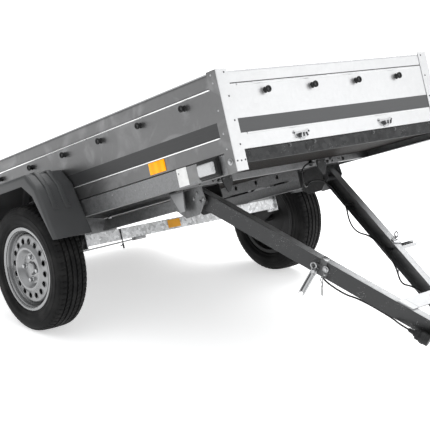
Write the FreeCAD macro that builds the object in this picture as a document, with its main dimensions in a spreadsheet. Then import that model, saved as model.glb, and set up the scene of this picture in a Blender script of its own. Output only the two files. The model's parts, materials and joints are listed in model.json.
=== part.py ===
import FreeCAD, Part
import math
import os
import re

import Sketcher
from FreeCAD import Placement, Rotation, Vector

# Single-axle utility trailer, drawn as it parks: the load bed is tipped nose-up
# on its drawbar hinge and the coupling head rests on the ground.
# Row frame: +X forward, +Y left, +Z up, origin on the ground midway along the part.
# Bed frame: x 0 at the front board's face, z 0 at the lower edge of the side boards.
# Drawbar frame: origin on the hinge axis, x along the drawbar, z square to it.
# Rail frame: origin where a rail's web crosses the hinge axis, x along the rail.

SIZES = {
    "box_length": 2110, "box_width": 1200, "board_thick": 30, "board_height": 298.5,
    "floor_depth": 330, "floor_thick": 12, "gap_open": 2, "bead_radius": 5,
    "bead_half": 4.3, "bead_root": 2, "upper_bead": 238, "lower_bead": 59, "gate_lift": 3,
    "sheet": 2.5, "frame_drop": 73, "frame_flange": 45, "top_flange": 28,
    "post_leg": 53, "post_rise": 1.5, "cross_back": 430, "cross_deep": 40,
    "under_in": 160, "under_wide": 40, "under_drop": 90, "under_front": 616, "under_lip": 4,
    "strip_top": 98, "strip_rear": 1420, "under_hole_end": 66,
    "under_hole": 11, "under_hole_first": 694,
    "under_hole_drop": 62, "under_hole_count": 9,
    "axle_back": 1250, "axle_drop": 236, "wheel_out": 125, "beam_square": 50,
    "beam_wall": 4, "beam_in": 25, "arm_gap": 10, "arm_length": 158, "arm_angle": 23.5,
    "end_plate": 5, "end_plate_rise": 12, "saddle_in": 8, "saddle_rise": 45,
    "arm_start": 12, "arm_bar_long": 132,
    "arm_radius": 30, "arm_thick": 14, "stub_radius": 17, "bracket_plate": 5,
    "tyre_radius": 273.5, "tyre_half": 77.5, "tread_half": 61,
    "tyre_foot": 62.5, "belly_flat": 24, "belly_lift": 45, "bead_seat": 165.2,
    "flange_radius": 182.5, "rim_wall": 3, "well_radius": 148,
    "well_half": 26, "seat_start": 42, "disc_wall": 4, "disc_face": 30, "dish": 16,
    "dish_inner": 72, "dish_outer": 88, "disc_radius": 149, "disc_flange": 30,
    "vent_ring": 119, "vent_radius": 10, "vent_count": 16,
    "bolt_ring": 50, "bolt_count": 4, "bolt_radius": 6.5, "hole_sides": 8,
    "hub_radius": 42, "hub_flange": 66, "hub_wall": 10, "hub_deep": 34,
    "cap_radius": 26, "cap_rise": 15,
    "guard_top": 389, "guard_flat": 155, "guard_knee": 217, "guard_knee_up": 317,
    "guard_side": 284, "guard_foot_up": 90, "guard_reach": 197, "guard_wall": 4,
    "arch_top": 343, "arch_flat": 115, "arch_knee": 182, "arch_knee_up": 289,
    "arch_foot": 270,
    "tilt": 19.06, "hinge_back": 471, "hinge_drop": 131, "rail_in": 55,
    "nose_gap": 37, "rail_tall": 69, "rail_wide": 35, "rail_wall": 3.5,
    "rail_tail": 36, "rail_length": 1190, "pin_radius": 8, "sleeve_radius": 14,
    "cheek": 4, "cheek_room": 19, "cheek_depth": 73,
    "cross_bar_back": 303, "cross_bar_deep": 62, "nose_plate": 4, "nose_back": 128,
    "nose_ahead": 97, "nose_half": 44,
    "head_gap": 12, "head_half": 30, "head_wall": 4, "ball_ahead": 337, "ball_low": 30,
    "ball_radius": 25.3, "socket_wall": 10.7, "socket_cut": 20,
    "hook_up": 207, "hook_stand": 28, "hook_first": 215, "hook_count": 7,
    "end_hook_count": 4, "end_hook_first": 220.5, "hook_stem": 5,
    "hook_head": 11, "hook_head_deep": 8,
    "lamp_back": 91, "lamp_long": 113, "lamp_low": 68, "lamp_tall": 66,
    "lamp_base": 8, "lamp_deep": 34, "rear_lamp_in": 130, "rear_lamp_long": 160,
    "reflector_back": 396, "reflector_long": 102, "reflector_low": 8,
    "reflector_tall": 46, "reflector_deep": 5,
    "keeper_out": 15, "keeper_long": 30, "keeper_low": 12, "keeper_reach": 14, "keeper_wing": 33,
    "lock_ahead": 36, "lock_long": 58, "lock_plate": 4, "handle_long": 131,
    "handle_wide": 24, "handle_lean": 8, "handle_swing": 18, "handle_deep": 16, "lock_tall": 60,
    "lock_pivot": 10, "lock_drop": 12, "lock_boss": 7, "handle_wall": 2.5,
    "plug_back": 205, "plug_radius": 22, "plug_long": 62,
    "knuckle_radius": 7, "knuckle_long": 24, "gate_pin": 3.5,
    "gate_hinge_out": 8,
    "cable_radius": 3.5, "cable_sides": 6, "cable_off": 42, "grommet_radius": 12, "grommet_in": 170,
    "grommet_drop": 57, "grommet_deep": 6, "cable_turn": 42,
    "tab_in": 79, "tab_wide": 54,
    "fit": 0.3,
}

# Places that follow from the sizes above
DERIVED = {
    "half_track": "( box_width / 2 + wheel_out )",
    "beam_half": "( box_width / 2 - beam_in )",
    "guard_out": "( box_width / 2 + guard_reach )",
    "under_out": "( box_width / 2 - under_in )",
    "rail_spread": "( under_out - rail_in )",
    "cheek_out": "( rail_spread + cheek_room )",
    "cheek_in": "( rail_spread - cheek_depth )",
    "strip_low": "( axle_drop - arm_length * sin(arm_angle ) - beam_square / 2 - bracket_plate )",
    "under_hole_step": "( ( box_length - under_hole_first - under_hole_end ) / under_hole_count )",
    "grommet_at": "( rail_spread - grommet_in )",
    "rail_angle": "asin(( rail_spread - nose_gap ) / rail_length)",
    "rail_reach": "( rail_length * cos(rail_angle) )",
    "cross_bar_at": "( rail_reach - cross_bar_back )",
    "nose_at": "( rail_reach - nose_back )",
    "nose_end": "( rail_reach + nose_ahead )",
    "head_at": "( rail_reach + head_gap )",
    "ball_at": "( rail_reach + ball_ahead )",
    "lock_reach": "( hinge_back + lock_ahead )",
    "lock_at": "( lock_reach / cos(rail_angle) )",
    "keeper_half": "( rail_spread - lock_reach * tan(rail_angle) + keeper_out )",
    "plug_at": "( rail_length - plug_back )",
    "hook_step": "( ( box_length - 2 * hook_first ) / ( hook_count - 1 ) )",
    "end_hook_step": "( ( box_width - 2 * end_hook_first ) / ( end_hook_count - 1 ) )",
    "rear_lamp_half": "( box_width / 2 - rear_lamp_in )",
    "gate_hinge_half": "( box_width / 4 )",
}

doc = FreeCAD.newDocument("utility_trailer")
sizes = doc.addObject("Spreadsheet::Sheet", "sizes")
for row, (alias, amount) in enumerate(SIZES.items(), start=1):
    sizes.set("A%d" % row, alias)
    sizes.set("B%d" % row, str(amount))
    sizes.setAlias("B%d" % row, alias)
doc.recompute()

nodes = []


def spell_out(text):
    """Replace derived words in a size expression, until only the sheet's words are left."""
    def open_word(word):
        return spell_out(DERIVED[word[0]]) if word[0] in DERIVED else word[0]
    return re.sub(r"[a-z][a-z_]*", open_word, str(text))


def number(text):
    """Work out a size expression with the sheet's values."""
    return float(sizes.evalExpression(spell_out(text)))


def bound(text):
    """Point the words of a size expression at the sheet, for another object's use."""
    def point(word):
        return "sizes." + word[0] if word[0] in SIZES else word[0]
    return re.sub(r"[a-z][a-z_]*", point, spell_out(text))


def bind(thing, field, text):
    """Tie one property of an object to a size expression."""
    thing.setExpression(field, bound(text))


def keep(thing, label, place=None):
    """Name a finished sub-part and put it in the row frame."""
    thing.Label = label
    if place is not None:
        thing.Placement = place
    nodes.append(thing)
    return thing


def draw_loop(sketch, points):
    """Draw a closed outline, counter-clockwise, through points of two expressions.

    A third expression on a point makes the edge that leaves it an arc of that
    radius, which bulges outwards, or inwards where it is negative.
    """
    first = sketch.GeometryCount
    count = len(points)
    spots = [Vector(number(point[0]), number(point[1]), 0) for point in points]
    ends = []
    for index, point in enumerate(points):
        start, stop = spots[index], spots[(index + 1) % count]
        if len(point) == 2:
            sketch.addGeometry(Part.LineSegment(start, stop), False)
            ends.append((1, 2))
            continue
        radius = number(point[2])
        chord = stop - start
        side = Vector(chord.y, -chord.x, 0).normalize() * math.copysign(1, radius)
        rise = abs(radius) - math.sqrt(radius ** 2 - (chord.Length / 2) ** 2)
        middle = (start + stop) * 0.5 + side * rise
        sketch.addGeometry(Part.ArcOfCircle(start, middle, stop), False)
        ends.append((1, 2) if radius > 0 else (2, 1))
    joins = []
    for index in range(count):
        after = (index + 1) % count
        joins.append(Sketcher.Constraint("Coincident", first + index, ends[index][1],
                                         first + after, ends[after][0]))
    sketch.addConstraint(joins)
    for index, point in enumerate(points):
        edge, corner = first + index, ends[index][0]
        tie(sketch, Sketcher.Constraint("DistanceX", -1, 1, edge, corner, spots[index].x), point[0])
        tie(sketch, Sketcher.Constraint("DistanceY", -1, 1, edge, corner, spots[index].y), point[1])
        if len(point) == 3:
            tie(sketch, Sketcher.Constraint("Radius", edge, abs(number(point[2]))), point[2].lstrip("- "))


def draw_circle(sketch, across, up, radius):
    """Draw a circle whose centre and radius are size expressions."""
    centre = Vector(number(across), number(up), 0)
    edge = sketch.addGeometry(Part.Circle(centre, Vector(0, 0, 1), number(radius)), False)
    tie(sketch, Sketcher.Constraint("DistanceX", -1, 1, edge, 3, centre.x), across)
    tie(sketch, Sketcher.Constraint("DistanceY", -1, 1, edge, 3, centre.y), up)
    tie(sketch, Sketcher.Constraint("Radius", edge, number(radius)), radius)


def tie(sketch, constraint, text):
    """Add a dimension to a sketch and bind it to a size expression."""
    index = sketch.addConstraint(constraint)
    name = "size_%d" % index
    sketch.renameConstraint(index, name)
    sketch.setExpression("Constraints." + name, bound(text))


def plane_sketch(body, plane, name, height):
    """Start a sketch on one of the body's own planes, moved along its normal."""
    face = [item for item in body.Origin.OriginFeatures if item.Role == plane][0]
    sketch = body.newObject("Sketcher::SketchObject", name)
    sketch.AttachmentSupport = (face, [""])
    sketch.MapMode = "FlatFace"
    bind(sketch, "AttachmentOffset.Base.z", height)
    return sketch


def start_height(plane, low, long):
    """Say how far a plane moves so that a pad runs from low over its length."""
    return "- ( %s ) - ( %s )" % (low, long) if plane == "XZ_Plane" else low


def pad(name, plane, low, long, loops, circles=()):
    """Pad outlines square to a plane, from low over the length long."""
    body = doc.addObject("PartDesign::Body", name)
    add_pad(body, name, plane, low, long, loops, circles)
    return body


def add_pad(body, name, plane, low, long, loops, circles=()):
    """Add a pad to a body."""
    sketch = plane_sketch(body, plane, name + "_sketch", start_height(plane, low, long))
    for loop in loops:
        draw_loop(sketch, loop)
    for circle in circles:
        draw_circle(sketch, *circle)
    feature = body.newObject("PartDesign::Pad", name + "_pad")
    feature.Profile = sketch
    bind(feature, "Length", long)
    return feature


def add_pocket(body, name, plane, low, long, loops, circles=()):
    """Cut outlines out of a body over a length, along the plane's own normal."""
    sketch = plane_sketch(body, plane, name + "_sketch", start_height(plane, low, long))
    for loop in loops:
        draw_loop(sketch, loop)
    for circle in circles:
        draw_circle(sketch, *circle)
    feature = body.newObject("PartDesign::Pocket", name + "_pocket")
    feature.Profile = sketch
    feature.Reversed = True
    bind(feature, "Length", long)
    return feature


def add_turn(body, name, loops):
    """Revolve outlines drawn in the body's YZ plane about its Y axis."""
    sketch = plane_sketch(body, "YZ_Plane", name + "_sketch", "0")
    for loop in loops:
        draw_loop(sketch, loop)
    feature = body.newObject("PartDesign::Revolution", name + "_turn")
    feature.Profile = sketch
    feature.ReferenceAxis = (sketch, ["H_Axis"])
    feature.Angle = 360
    return feature


def box(name, corner, extent):
    """Make a block from its lowest corner and its three lengths."""
    block = doc.addObject("Part::Box", name)
    for axis, text in zip("xyz", corner):
        bind(block, "Placement.Base." + axis, text)
    for field, text in zip(("Length", "Width", "Height"), extent):
        bind(block, field, text)
    return block


TURNS = {"x": Rotation(Vector(0, 1, 0), 90), "y": Rotation(Vector(1, 0, 0), -90), "z": Rotation()}


def rod(name, axis, start, radius, long):
    """Make a cylinder that starts at a point and runs along +x, +y or +z."""
    cylinder = doc.addObject("Part::Cylinder", name)
    cylinder.Placement.Rotation = TURNS[axis]
    for letter, text in zip("xyz", start):
        bind(cylinder, "Placement.Base." + letter, text)
    bind(cylinder, "Radius", radius)
    bind(cylinder, "Height", long)
    return cylinder


def fuse(name, pieces):
    """Join touching solids into one."""
    joined = doc.addObject("Part::MultiFuse", name)
    joined.Shapes = pieces
    joined.Refine = True
    return joined


def cut(name, base, tool):
    """Take one solid out of another."""
    result = doc.addObject("Part::Cut", name)
    result.Base = base
    result.Tool = tool
    return result


def group(name, pieces):
    """Hold solids that don't touch in one sub-part."""
    together = doc.addObject("Part::Compound", name)
    together.Links = pieces
    return together


def mirror(source, label):
    """Make a left sub-part as the mirror image of a right one."""
    image = doc.addObject("Part::Mirroring", label + "_mirror")
    image.Source = source
    image.Normal = Vector(0, 1, 0)
    return keep(image, label)


def mirror_loop(points, total):
    """Mirror an outline left to right, so that the two images' sum is total."""
    turned = []
    for index in range(len(points) - 1, -1, -1):
        across, up = points[index][:2]
        turned.append(("%s - ( %s )" % (total, across), up) + tuple(points[index - 1][2:]))
    return turned


# Where things stand
HINGE_Y = Vector(0, 1, 0)
tilt = math.radians(number("tilt"))
socket_radius = number("ball_radius + socket_wall")
nose_x = number("ball_at") + math.sqrt(socket_radius ** 2 - number("socket_cut") ** 2)
nose_z = number("- ball_low - socket_cut")
hinge_high = (number("tyre_radius") + number("axle_back - hinge_back") * math.sin(tilt)
              + number("axle_drop - hinge_drop") * math.cos(tilt))
slope = math.asin(hinge_high / math.hypot(nose_x, nose_z)) + math.atan2(nose_z, nose_x)
bed_ground = (number("axle_back") * math.sin(tilt) + number("axle_drop") * math.cos(tilt)
              + number("tyre_radius"))
tail_x = (number("- box_length - hook_stand") * math.cos(tilt)
          - number("hook_up + hook_head") * math.sin(tilt))
top_x = number("- box_length") * math.cos(tilt) - number("board_height") * math.sin(tilt)
hinge_x = number("- hinge_back") * math.cos(tilt) + number("hinge_drop") * math.sin(tilt)
tip_x = (hinge_x + number("ball_at") * math.cos(slope) - number("ball_low") * math.sin(slope)
         + socket_radius)
BED = Placement(Vector(-(tip_x + min(tail_x, top_x)) / 2, 0, bed_ground),
                Rotation(HINGE_Y, -math.degrees(tilt)))
drawbar_turn = math.degrees(slope + tilt)
DRAWBAR = BED.multiply(Placement(Vector(number("- hinge_back"), 0, number("- hinge_drop")),
                                 Rotation(HINGE_Y, drawbar_turn)))
RAIL = DRAWBAR.multiply(Placement(Vector(0, number("- rail_spread"), 0),
                                  Rotation(Vector(0, 0, 1), number("rail_angle"))))
WHEEL = BED.multiply(Placement(Vector(number("- axle_back"), number("- half_track"),
                                      number("- axle_drop")), Rotation()))

OUTER = "( box_width / 2 )"
INNER = "( box_width / 2 - board_thick )"
FLOOR_TOP = "( board_height - floor_depth )"
FLOOR_LOW = "( board_height - floor_depth - floor_thick )"


# Load bed: floor, boards and corner posts

def make_floor():
    floor = box("floor_block", ("- box_length + sheet + fit", "- " + OUTER + " + sheet + fit", FLOOR_LOW),
                ("box_length - 2 * ( sheet + fit )", "box_width - 2 * ( sheet + fit )", "floor_thick"))
    keep(group("floor", [floor]), "floor_panel", BED)


def board_outline(face, low):
    """Section of a board with a rolled top, its outer face at the given place."""
    back, middle = face + " - board_thick", face + " - board_thick / 2"
    return [(back, low), (face, low), (face, "board_height - board_thick / 2", "board_thick / 2"),
            (middle, "board_height", "board_thick / 2"), (back, "board_height - board_thick / 2")]


def bead_outline(face, bead):
    """Section of one rolled bead that stands proud of a board's outer face."""
    root = face + " - bead_root"
    return [(root, bead + " - bead_half"), (face, bead + " - bead_half", "bead_radius"),
            (face, bead + " + bead_half"), (root, bead + " + bead_half")]


def board(name, plane, half, face, low, total):
    """A board with beads that end short of the corner posts."""
    flip = (lambda loop: mirror_loop(loop, total)) if total else (lambda loop: loop)
    start, long, short = half
    body = pad(name, plane, start, long, [flip(board_outline(face, low))])
    beads = [flip(bead_outline(face, bead)) for bead in ("lower_bead", "upper_bead")]
    add_pad(body, name + "_beads", plane, "%s + %s" % (start, short),
            "%s - 2 * ( %s )" % (long, short), beads)
    return body


def make_boards():
    reach = ("- %s + fit" % INNER, "2 * %s - 2 * fit" % INNER, "post_leg")
    front = board("front_board", "XZ_Plane", reach, "0", "0", "")
    keep(front, "front_board", BED)
    reach = ("- %s + gap_open" % INNER, "2 * %s - 2 * gap_open" % INNER, "bead_root")
    gate = board("tailgate_board", "XZ_Plane", reach, "0", "gate_lift", "- box_length")
    keep(gate, "tailgate_board", BED)
    reach = ("- box_length", "box_length", "post_leg + bead_radius")
    side = board("side_board", "YZ_Plane", reach, OUTER, "0", "0")
    keep(side, "side_board_right", BED)
    mirror(side, "side_board_left")


def make_posts():
    """Folded angles that wrap the four corners from the chassis foot to the top."""
    for name, at, side, leg in (("front", "0", "1", "post_leg"),
                                ("rear", "- box_length", "-1", "board_thick")):
        across, out = "%s + %s * sheet" % (at, side), "- %s - sheet" % OUTER
        back = "%s - %s * post_leg" % (at, side)
        near = "- %s - sheet + %s" % (OUTER, leg)
        loop = [(across, out), (across, near), (at, near), (at, "- " + OUTER),
                (back, "- " + OUTER), (back, out)]
        if side == "-1":
            loop = loop[::-1]
        post = pad("post_" + name, "XY_Plane", "- frame_drop",
                   "frame_drop + board_height + post_rise", [loop])
        keep(post, "corner_post_%s_right" % name, BED)
        mirror(post, "corner_post_%s_left" % name)


# Chassis

CROSS_HOLES = ((40, "- 57", "9"), (9, "- 54", "4"), (-32, "- 58", "6"))


def make_frame():
    side_loop = [("- " + OUTER, "- frame_drop"), ("- " + OUTER + " + frame_flange", "- frame_drop"),
                 ("- " + OUTER + " + frame_flange", "- frame_drop + sheet"),
                 ("- " + OUTER + " + sheet", "- frame_drop + sheet"),
                 ("- " + OUTER + " + sheet", "- gap_open - sheet"),
                 ("- " + OUTER + " + top_flange", "- gap_open - sheet"),
                 ("- " + OUTER + " + top_flange", "- gap_open"), ("- " + OUTER, "- gap_open")]
    side = pad("frame_side", "YZ_Plane", "- box_length", "box_length", [side_loop])
    keep(side, "frame_side_right", BED)
    mirror(side, "frame_side_left")

    sill_half = "( %s - top_flange - fit )" % OUTER
    front_loop = [("- top_flange", FLOOR_LOW + " - sheet"), ("0", FLOOR_LOW + " - sheet"),
                  ("0", "- gap_open"),
                  ("- top_flange", "- gap_open"), ("- top_flange", "- gap_open - sheet"),
                  ("- sheet", "- gap_open - sheet"), ("- sheet", FLOOR_LOW), ("- top_flange", FLOOR_LOW)]
    sill = pad("front_sill", "XZ_Plane", "- " + sill_half, "2 * " + sill_half, [front_loop])
    keep(sill, "front_sill", BED)

    rear_half = "( %s - frame_flange - fit )" % OUTER
    rear_loop = [("- box_length", "- frame_drop"), ("- box_length + top_flange", "- frame_drop"),
                 ("- box_length + top_flange", "- frame_drop + sheet"),
                 ("- box_length + sheet", "- frame_drop + sheet"),
                 ("- box_length + sheet", "- gap_open - sheet"),
                 ("- box_length + top_flange", "- gap_open - sheet"),
                 ("- box_length + top_flange", "- gap_open"), ("- box_length", "- gap_open")]
    rear = pad("rear_sill", "XZ_Plane", "- " + rear_half, "2 * " + rear_half, [rear_loop])
    keep(rear, "rear_sill", BED)

    cross_low, cross_half = "( - frame_drop + sheet )", "( %s - sheet - fit )" % OUTER
    cross_back = "( - cross_back - cross_deep )"
    cross_loop = [(cross_back, cross_low), ("- cross_back", cross_low), ("- cross_back", FLOOR_LOW),
                  (cross_back, FLOOR_LOW), (cross_back, FLOOR_LOW + " - sheet"),
                  ("- cross_back - sheet", FLOOR_LOW + " - sheet"),
                  ("- cross_back - sheet", cross_low + " + sheet"),
                  (cross_back, cross_low + " + sheet")]
    beam = pad("front_crossbeam", "XZ_Plane", "- " + cross_half, "2 * " + cross_half, [cross_loop])
    holes = []
    for across, up, radius in CROSS_HOLES:
        holes.append(polygon("( - rail_spread - ( %d ) )" % across, up, radius))
        holes.append(polygon("( rail_spread + %d )" % across, up, radius))
    add_pocket(beam, "crossbeam_holes", "YZ_Plane", "- cross_back - 2 * sheet", "3 * sheet", holes)
    keep(beam, "front_crossbeam", BED)


def make_under_rails():
    """Channels under the floor with holes in the web, and the angles that run below them."""
    web, out = "- under_out + under_wide", "- under_out"
    lip = "- frame_drop + sheet - under_lip"
    loop = [(out, "- under_drop"), (web, "- under_drop"), (web, FLOOR_LOW), (out, FLOOR_LOW), (out, lip),
            (out + " + sheet", lip), (out + " + sheet", FLOOR_LOW + " - sheet"),
            (web + " - sheet", FLOOR_LOW + " - sheet"), (web + " - sheet", "- under_drop + sheet"),
            (out, "- under_drop + sheet")]
    rail = pad("under_rail", "YZ_Plane", "- box_length + top_flange + fit",
               "box_length - top_flange - fit - under_front", [loop])
    holes = [polygon("- under_hole_first - %d * under_hole_step" % index, "- under_hole_drop",
                     "under_hole")
             for index in range(int(number("under_hole_count")))]
    add_pocket(rail, "under_rail_holes", "XZ_Plane", "- under_out + under_wide - 2 * sheet",
               "3 * sheet", holes)
    strip_loop = [(out, "- strip_low"), (web, "- strip_low"), (web, "- strip_low + sheet"),
                  (out + " + sheet", "- strip_low + sheet"), (out + " + sheet", "- strip_top"),
                  (out, "- strip_top")]
    strip = pad("under_strip", "YZ_Plane", "- strip_rear", "strip_rear - under_front", [strip_loop])
    keep(group("under_rails", [rail, strip]), "under_rail_right", BED)
    mirror(nodes[-1], "under_rail_left")


def make_axle():
    """Square axle tube with trailing arms, stub axles and the brackets that hold it."""
    middle_x = "( - axle_back + arm_length * cos(arm_angle ) )"
    middle_z = "( - axle_drop + arm_length * sin(arm_angle ) )"
    half = "( beam_square / 2 )"

    def square(reach):
        return [("%s - %s" % (middle_x, reach), "%s - %s" % (middle_z, reach)),
                ("%s + %s" % (middle_x, reach), "%s - %s" % (middle_z, reach)),
                ("%s + %s" % (middle_x, reach), "%s + %s" % (middle_z, reach)),
                ("%s - %s" % (middle_x, reach), "%s + %s" % (middle_z, reach))]
    tube = pad("axle_tube", "XZ_Plane", "- beam_half", "2 * beam_half",
               [square(half), square("( beam_square / 2 - beam_wall )")])
    plates = []
    plate_half = "( %s + end_plate_rise )" % half
    bore_half = "( beam_square / 2 - beam_wall )"
    for name, plate_low in (("right", "- beam_half - end_plate"), ("left", "beam_half")):
        plates.append(pad("axle_end_" + name, "XZ_Plane", plate_low, "end_plate",
                          [square(plate_half), square(bore_half)]))
    keep(fuse("axle", [tube] + plates), "axle_beam", BED)

    low, out = "( - axle_drop )", "( - half_track )"
    top = "( %s + %s )" % (middle_z, half)
    near, far = "( - under_out - saddle_in )", "( - %s + saddle_in / 2 )" % OUTER
    foot, sunk = "- beam_half + end_plate + 2", "- strip_low - bracket_plate / 2"
    saddle_loop = [(near + " - 26", sunk), (near + " - 26", "- strip_low"),
                   (near, "- strip_low + saddle_rise"),
                   (near + " - 22", "- strip_low + saddle_rise + 10"), (near + " - 107", "- frame_drop"),
                   (far, "- frame_drop"), (far, "- strip_low + 60"), (foot, "- strip_low"), (foot, sunk)]
    saddle = []
    for name, start in (("front", half + " - bracket_plate"), ("rear", "- " + half)):
        saddle.append(pad("saddle_" + name, "YZ_Plane", "%s + %s" % (middle_x, start), "bracket_plate",
                          [saddle_loop[::-1]]))
    seat = box("saddle_seat", ("%s - %s" % (middle_x, half), "- beam_half", top),
               ("beam_square", "beam_half - under_out + under_wide", "- strip_low - " + top))
    keep(fuse("axle_bracket", saddle + [seat]), "axle_bracket_right", BED)
    mirror(nodes[-1], "axle_bracket_left")

    arm_y = "( - beam_half - arm_gap - arm_thick )"
    slot = [("0", "- arm_radius"), ("arm_length", "- arm_radius", "arm_radius"),
            ("arm_length + arm_radius", "0", "arm_radius"), ("arm_length", "arm_radius"),
            ("0", "arm_radius", "arm_radius"), ("- arm_radius", "0", "arm_radius")]
    arm_place = Placement(Vector(number("- axle_back"), 0, number("- axle_drop")),
                          Rotation(HINGE_Y, number("- arm_angle")))
    arm = pad("arm_plate", "XZ_Plane", arm_y, "arm_thick", [slot])
    arm.Placement = arm_place
    inner = rod("arm_bar", "y", (middle_x, "- beam_half - arm_start", middle_z),
                "beam_square / 2 - beam_wall - 1", "arm_bar_long")
    stub = rod("arm_stub", "y", ("- axle_back", "- half_track - disc_face", low), "stub_radius",
               "half_track + disc_face - beam_half - arm_start")
    both = fuse("arm", [arm, inner, stub])
    keep(both, "swing_arm_right", BED)
    mirror(both, "swing_arm_left")


# Wheels, drawn about the axle line: y 0 is the wheel's middle and -y its outer side

def polygon(across, up, radius):
    """A many-sided hole, so that what repeats has few faces."""
    sides = int(number("hole_sides"))
    return [("%s + %s * cos(%s)" % (across, radius, (index + 0.5) * 360 / sides),
             "%s + %s * sin(%s)" % (up, radius, (index + 0.5) * 360 / sides)) for index in range(sides)]


def both_sides(points):
    """Close an outline whose second half is the first one's mirror image about x 0."""
    return points + [("- " + across, up) for across, up in points[::-1]]


def make_wheel():
    side = [("tyre_foot", "bead_seat + fit"), ("tyre_foot", "flange_radius + rim_wall"),
            ("tyre_half", "bead_seat + belly_lift"), ("tyre_half", "bead_seat + belly_lift + belly_flat"),
            ("tread_half", "tyre_radius")]
    tyre = doc.addObject("PartDesign::Body", "tyre")
    add_turn(tyre, "tyre", [both_sides(side)])
    keep(tyre, "tyre_right", WHEEL)
    mirror(tyre, "tyre_left")

    inside = "( tyre_foot + fit + rim_wall )"
    outer = [("well_half - rim_wall / 2", "well_radius + rim_wall"), ("seat_start", "bead_seat"),
             ("tyre_foot + fit", "bead_seat"), ("tyre_foot + fit", "flange_radius"),
             (inside, "flange_radius"), (inside, "bead_seat - rim_wall"),
             ("seat_start + rim_wall / 2", "bead_seat - rim_wall"), ("well_half", "well_radius")]
    barrel = outer + [("- ( %s )" % across, up) for across, up in outer[::-1]]
    face, ridge = "disc_face", "( disc_face + dish )"
    bore = "cap_radius + 2 * rim_wall"
    disc = [("- " + face, bore), ("- %s - disc_wall" % face, bore),
            ("- %s - disc_wall" % face, "dish_inner"), ("- %s - disc_wall" % ridge, "dish_outer"),
            ("- %s - disc_wall" % ridge, "disc_radius"),
            ("- %s - disc_wall + disc_flange" % ridge, "disc_radius"),
            ("- %s - disc_wall + disc_flange" % ridge, "disc_radius - disc_wall"),
            ("- " + ridge, "disc_radius - disc_wall"), ("- " + ridge, "dish_outer"),
            ("- " + face, "dish_inner")]
    rim = doc.addObject("PartDesign::Body", "rim")
    add_turn(rim, "rim_barrel", [barrel])
    add_turn(rim, "rim_disc", [disc[::-1]])
    for name, ring, radius, count in (("vent", "vent_ring", "vent_radius", "vent_count"),
                                      ("bolt", "bolt_ring", "bolt_radius", "bolt_count")):
        hole = add_pocket(rim, name, "XZ_Plane", "- " + inside, inside, [polygon("0", ring, radius)])
        pattern = rim.newObject("PartDesign::PolarPattern", name + "_pattern")
        pattern.Originals = [hole]
        pattern.Axis = (hole.Profile[0], ["N_Axis"])
        pattern.Angle = 360
        bind(pattern, "Occurrences", count)
        rim.Tip = pattern
    keep(rim, "rim_right", WHEEL)
    mirror(rim, "rim_left")

    bore = "( stub_radius + fit )"
    hub_loop = [("- disc_face + fit", bore), ("- disc_face + fit", "hub_flange"),
                ("- disc_face + hub_wall", "hub_flange"), ("- disc_face + hub_wall", "hub_radius"),
                ("hub_deep", "hub_radius"), ("hub_deep", bore)]
    cap_loop = [("- disc_face - cap_rise", "0"), ("- disc_face - cap_rise", "cap_radius"),
                ("- disc_face + 2 * fit", "cap_radius"), ("- disc_face + 2 * fit", bore),
                ("- disc_face - 2 * fit", bore), ("- disc_face - 2 * fit", "0")]
    hub = doc.addObject("PartDesign::Body", "hub")
    add_turn(hub, "hub", [hub_loop[::-1]])
    add_turn(hub, "hub_cap", [cap_loop[::-1]])
    keep(hub, "hub_right", WHEEL)
    mirror(hub, "hub_left")


# Mudguards, drawn in the bed frame about the axle's place

def arch_points(top, flat, knee, knee_up, side, foot_up):
    """Half of a mudguard's outline, doubled about the axle."""
    right = [(side, foot_up), (knee, knee_up), (flat, top)]
    left = [("- " + across, up) for across, up in right[::-1]]
    points = []
    for across, up in right + left:
        points.append(("- axle_back + ( %s )" % across, "- axle_drop + ( %s )" % up))
    return points


def make_mudguards():
    outer = arch_points("guard_top", "guard_flat", "guard_knee", "guard_knee_up", "guard_side",
                        "guard_foot_up")
    inner = arch_points("guard_top - guard_wall", "guard_flat - guard_wall / 2", "guard_knee - guard_wall",
                        "guard_knee_up - guard_wall / 2", "guard_side - guard_wall", "guard_foot_up - 10")
    arch = arch_points("arch_top", "arch_flat", "arch_knee", "arch_knee_up", "arch_foot",
                       "guard_foot_up - 20")
    width = "( guard_out - %s - bead_radius + sqrt(bead_radius ^ 2 - bead_half ^ 2) - fit )" % OUTER
    guard = pad("mudguard", "XZ_Plane", "- guard_out", width, [outer])
    add_pocket(guard, "wheel_room", "XZ_Plane", "- guard_out + guard_wall",
               width + " - 2 * guard_wall", [inner])
    add_pocket(guard, "wheel_arch", "XZ_Plane", "- guard_out - fit", width + " + 2 * fit", [arch])
    keep(guard, "mudguard_right", BED)
    mirror(guard, "mudguard_left")


# Drawbar

def drawbar_rod(name, start, radius, long):
    """A round bar along y in the drawbar frame, placed in the row frame."""
    bar = doc.addObject("Part::Cylinder", name)
    bind(bar, "Radius", radius)
    bind(bar, "Height", long)
    place = Vector(*[number(text) for text in start])
    bar.Placement = DRAWBAR.multiply(Placement(place, TURNS["y"]))
    return bar


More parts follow.
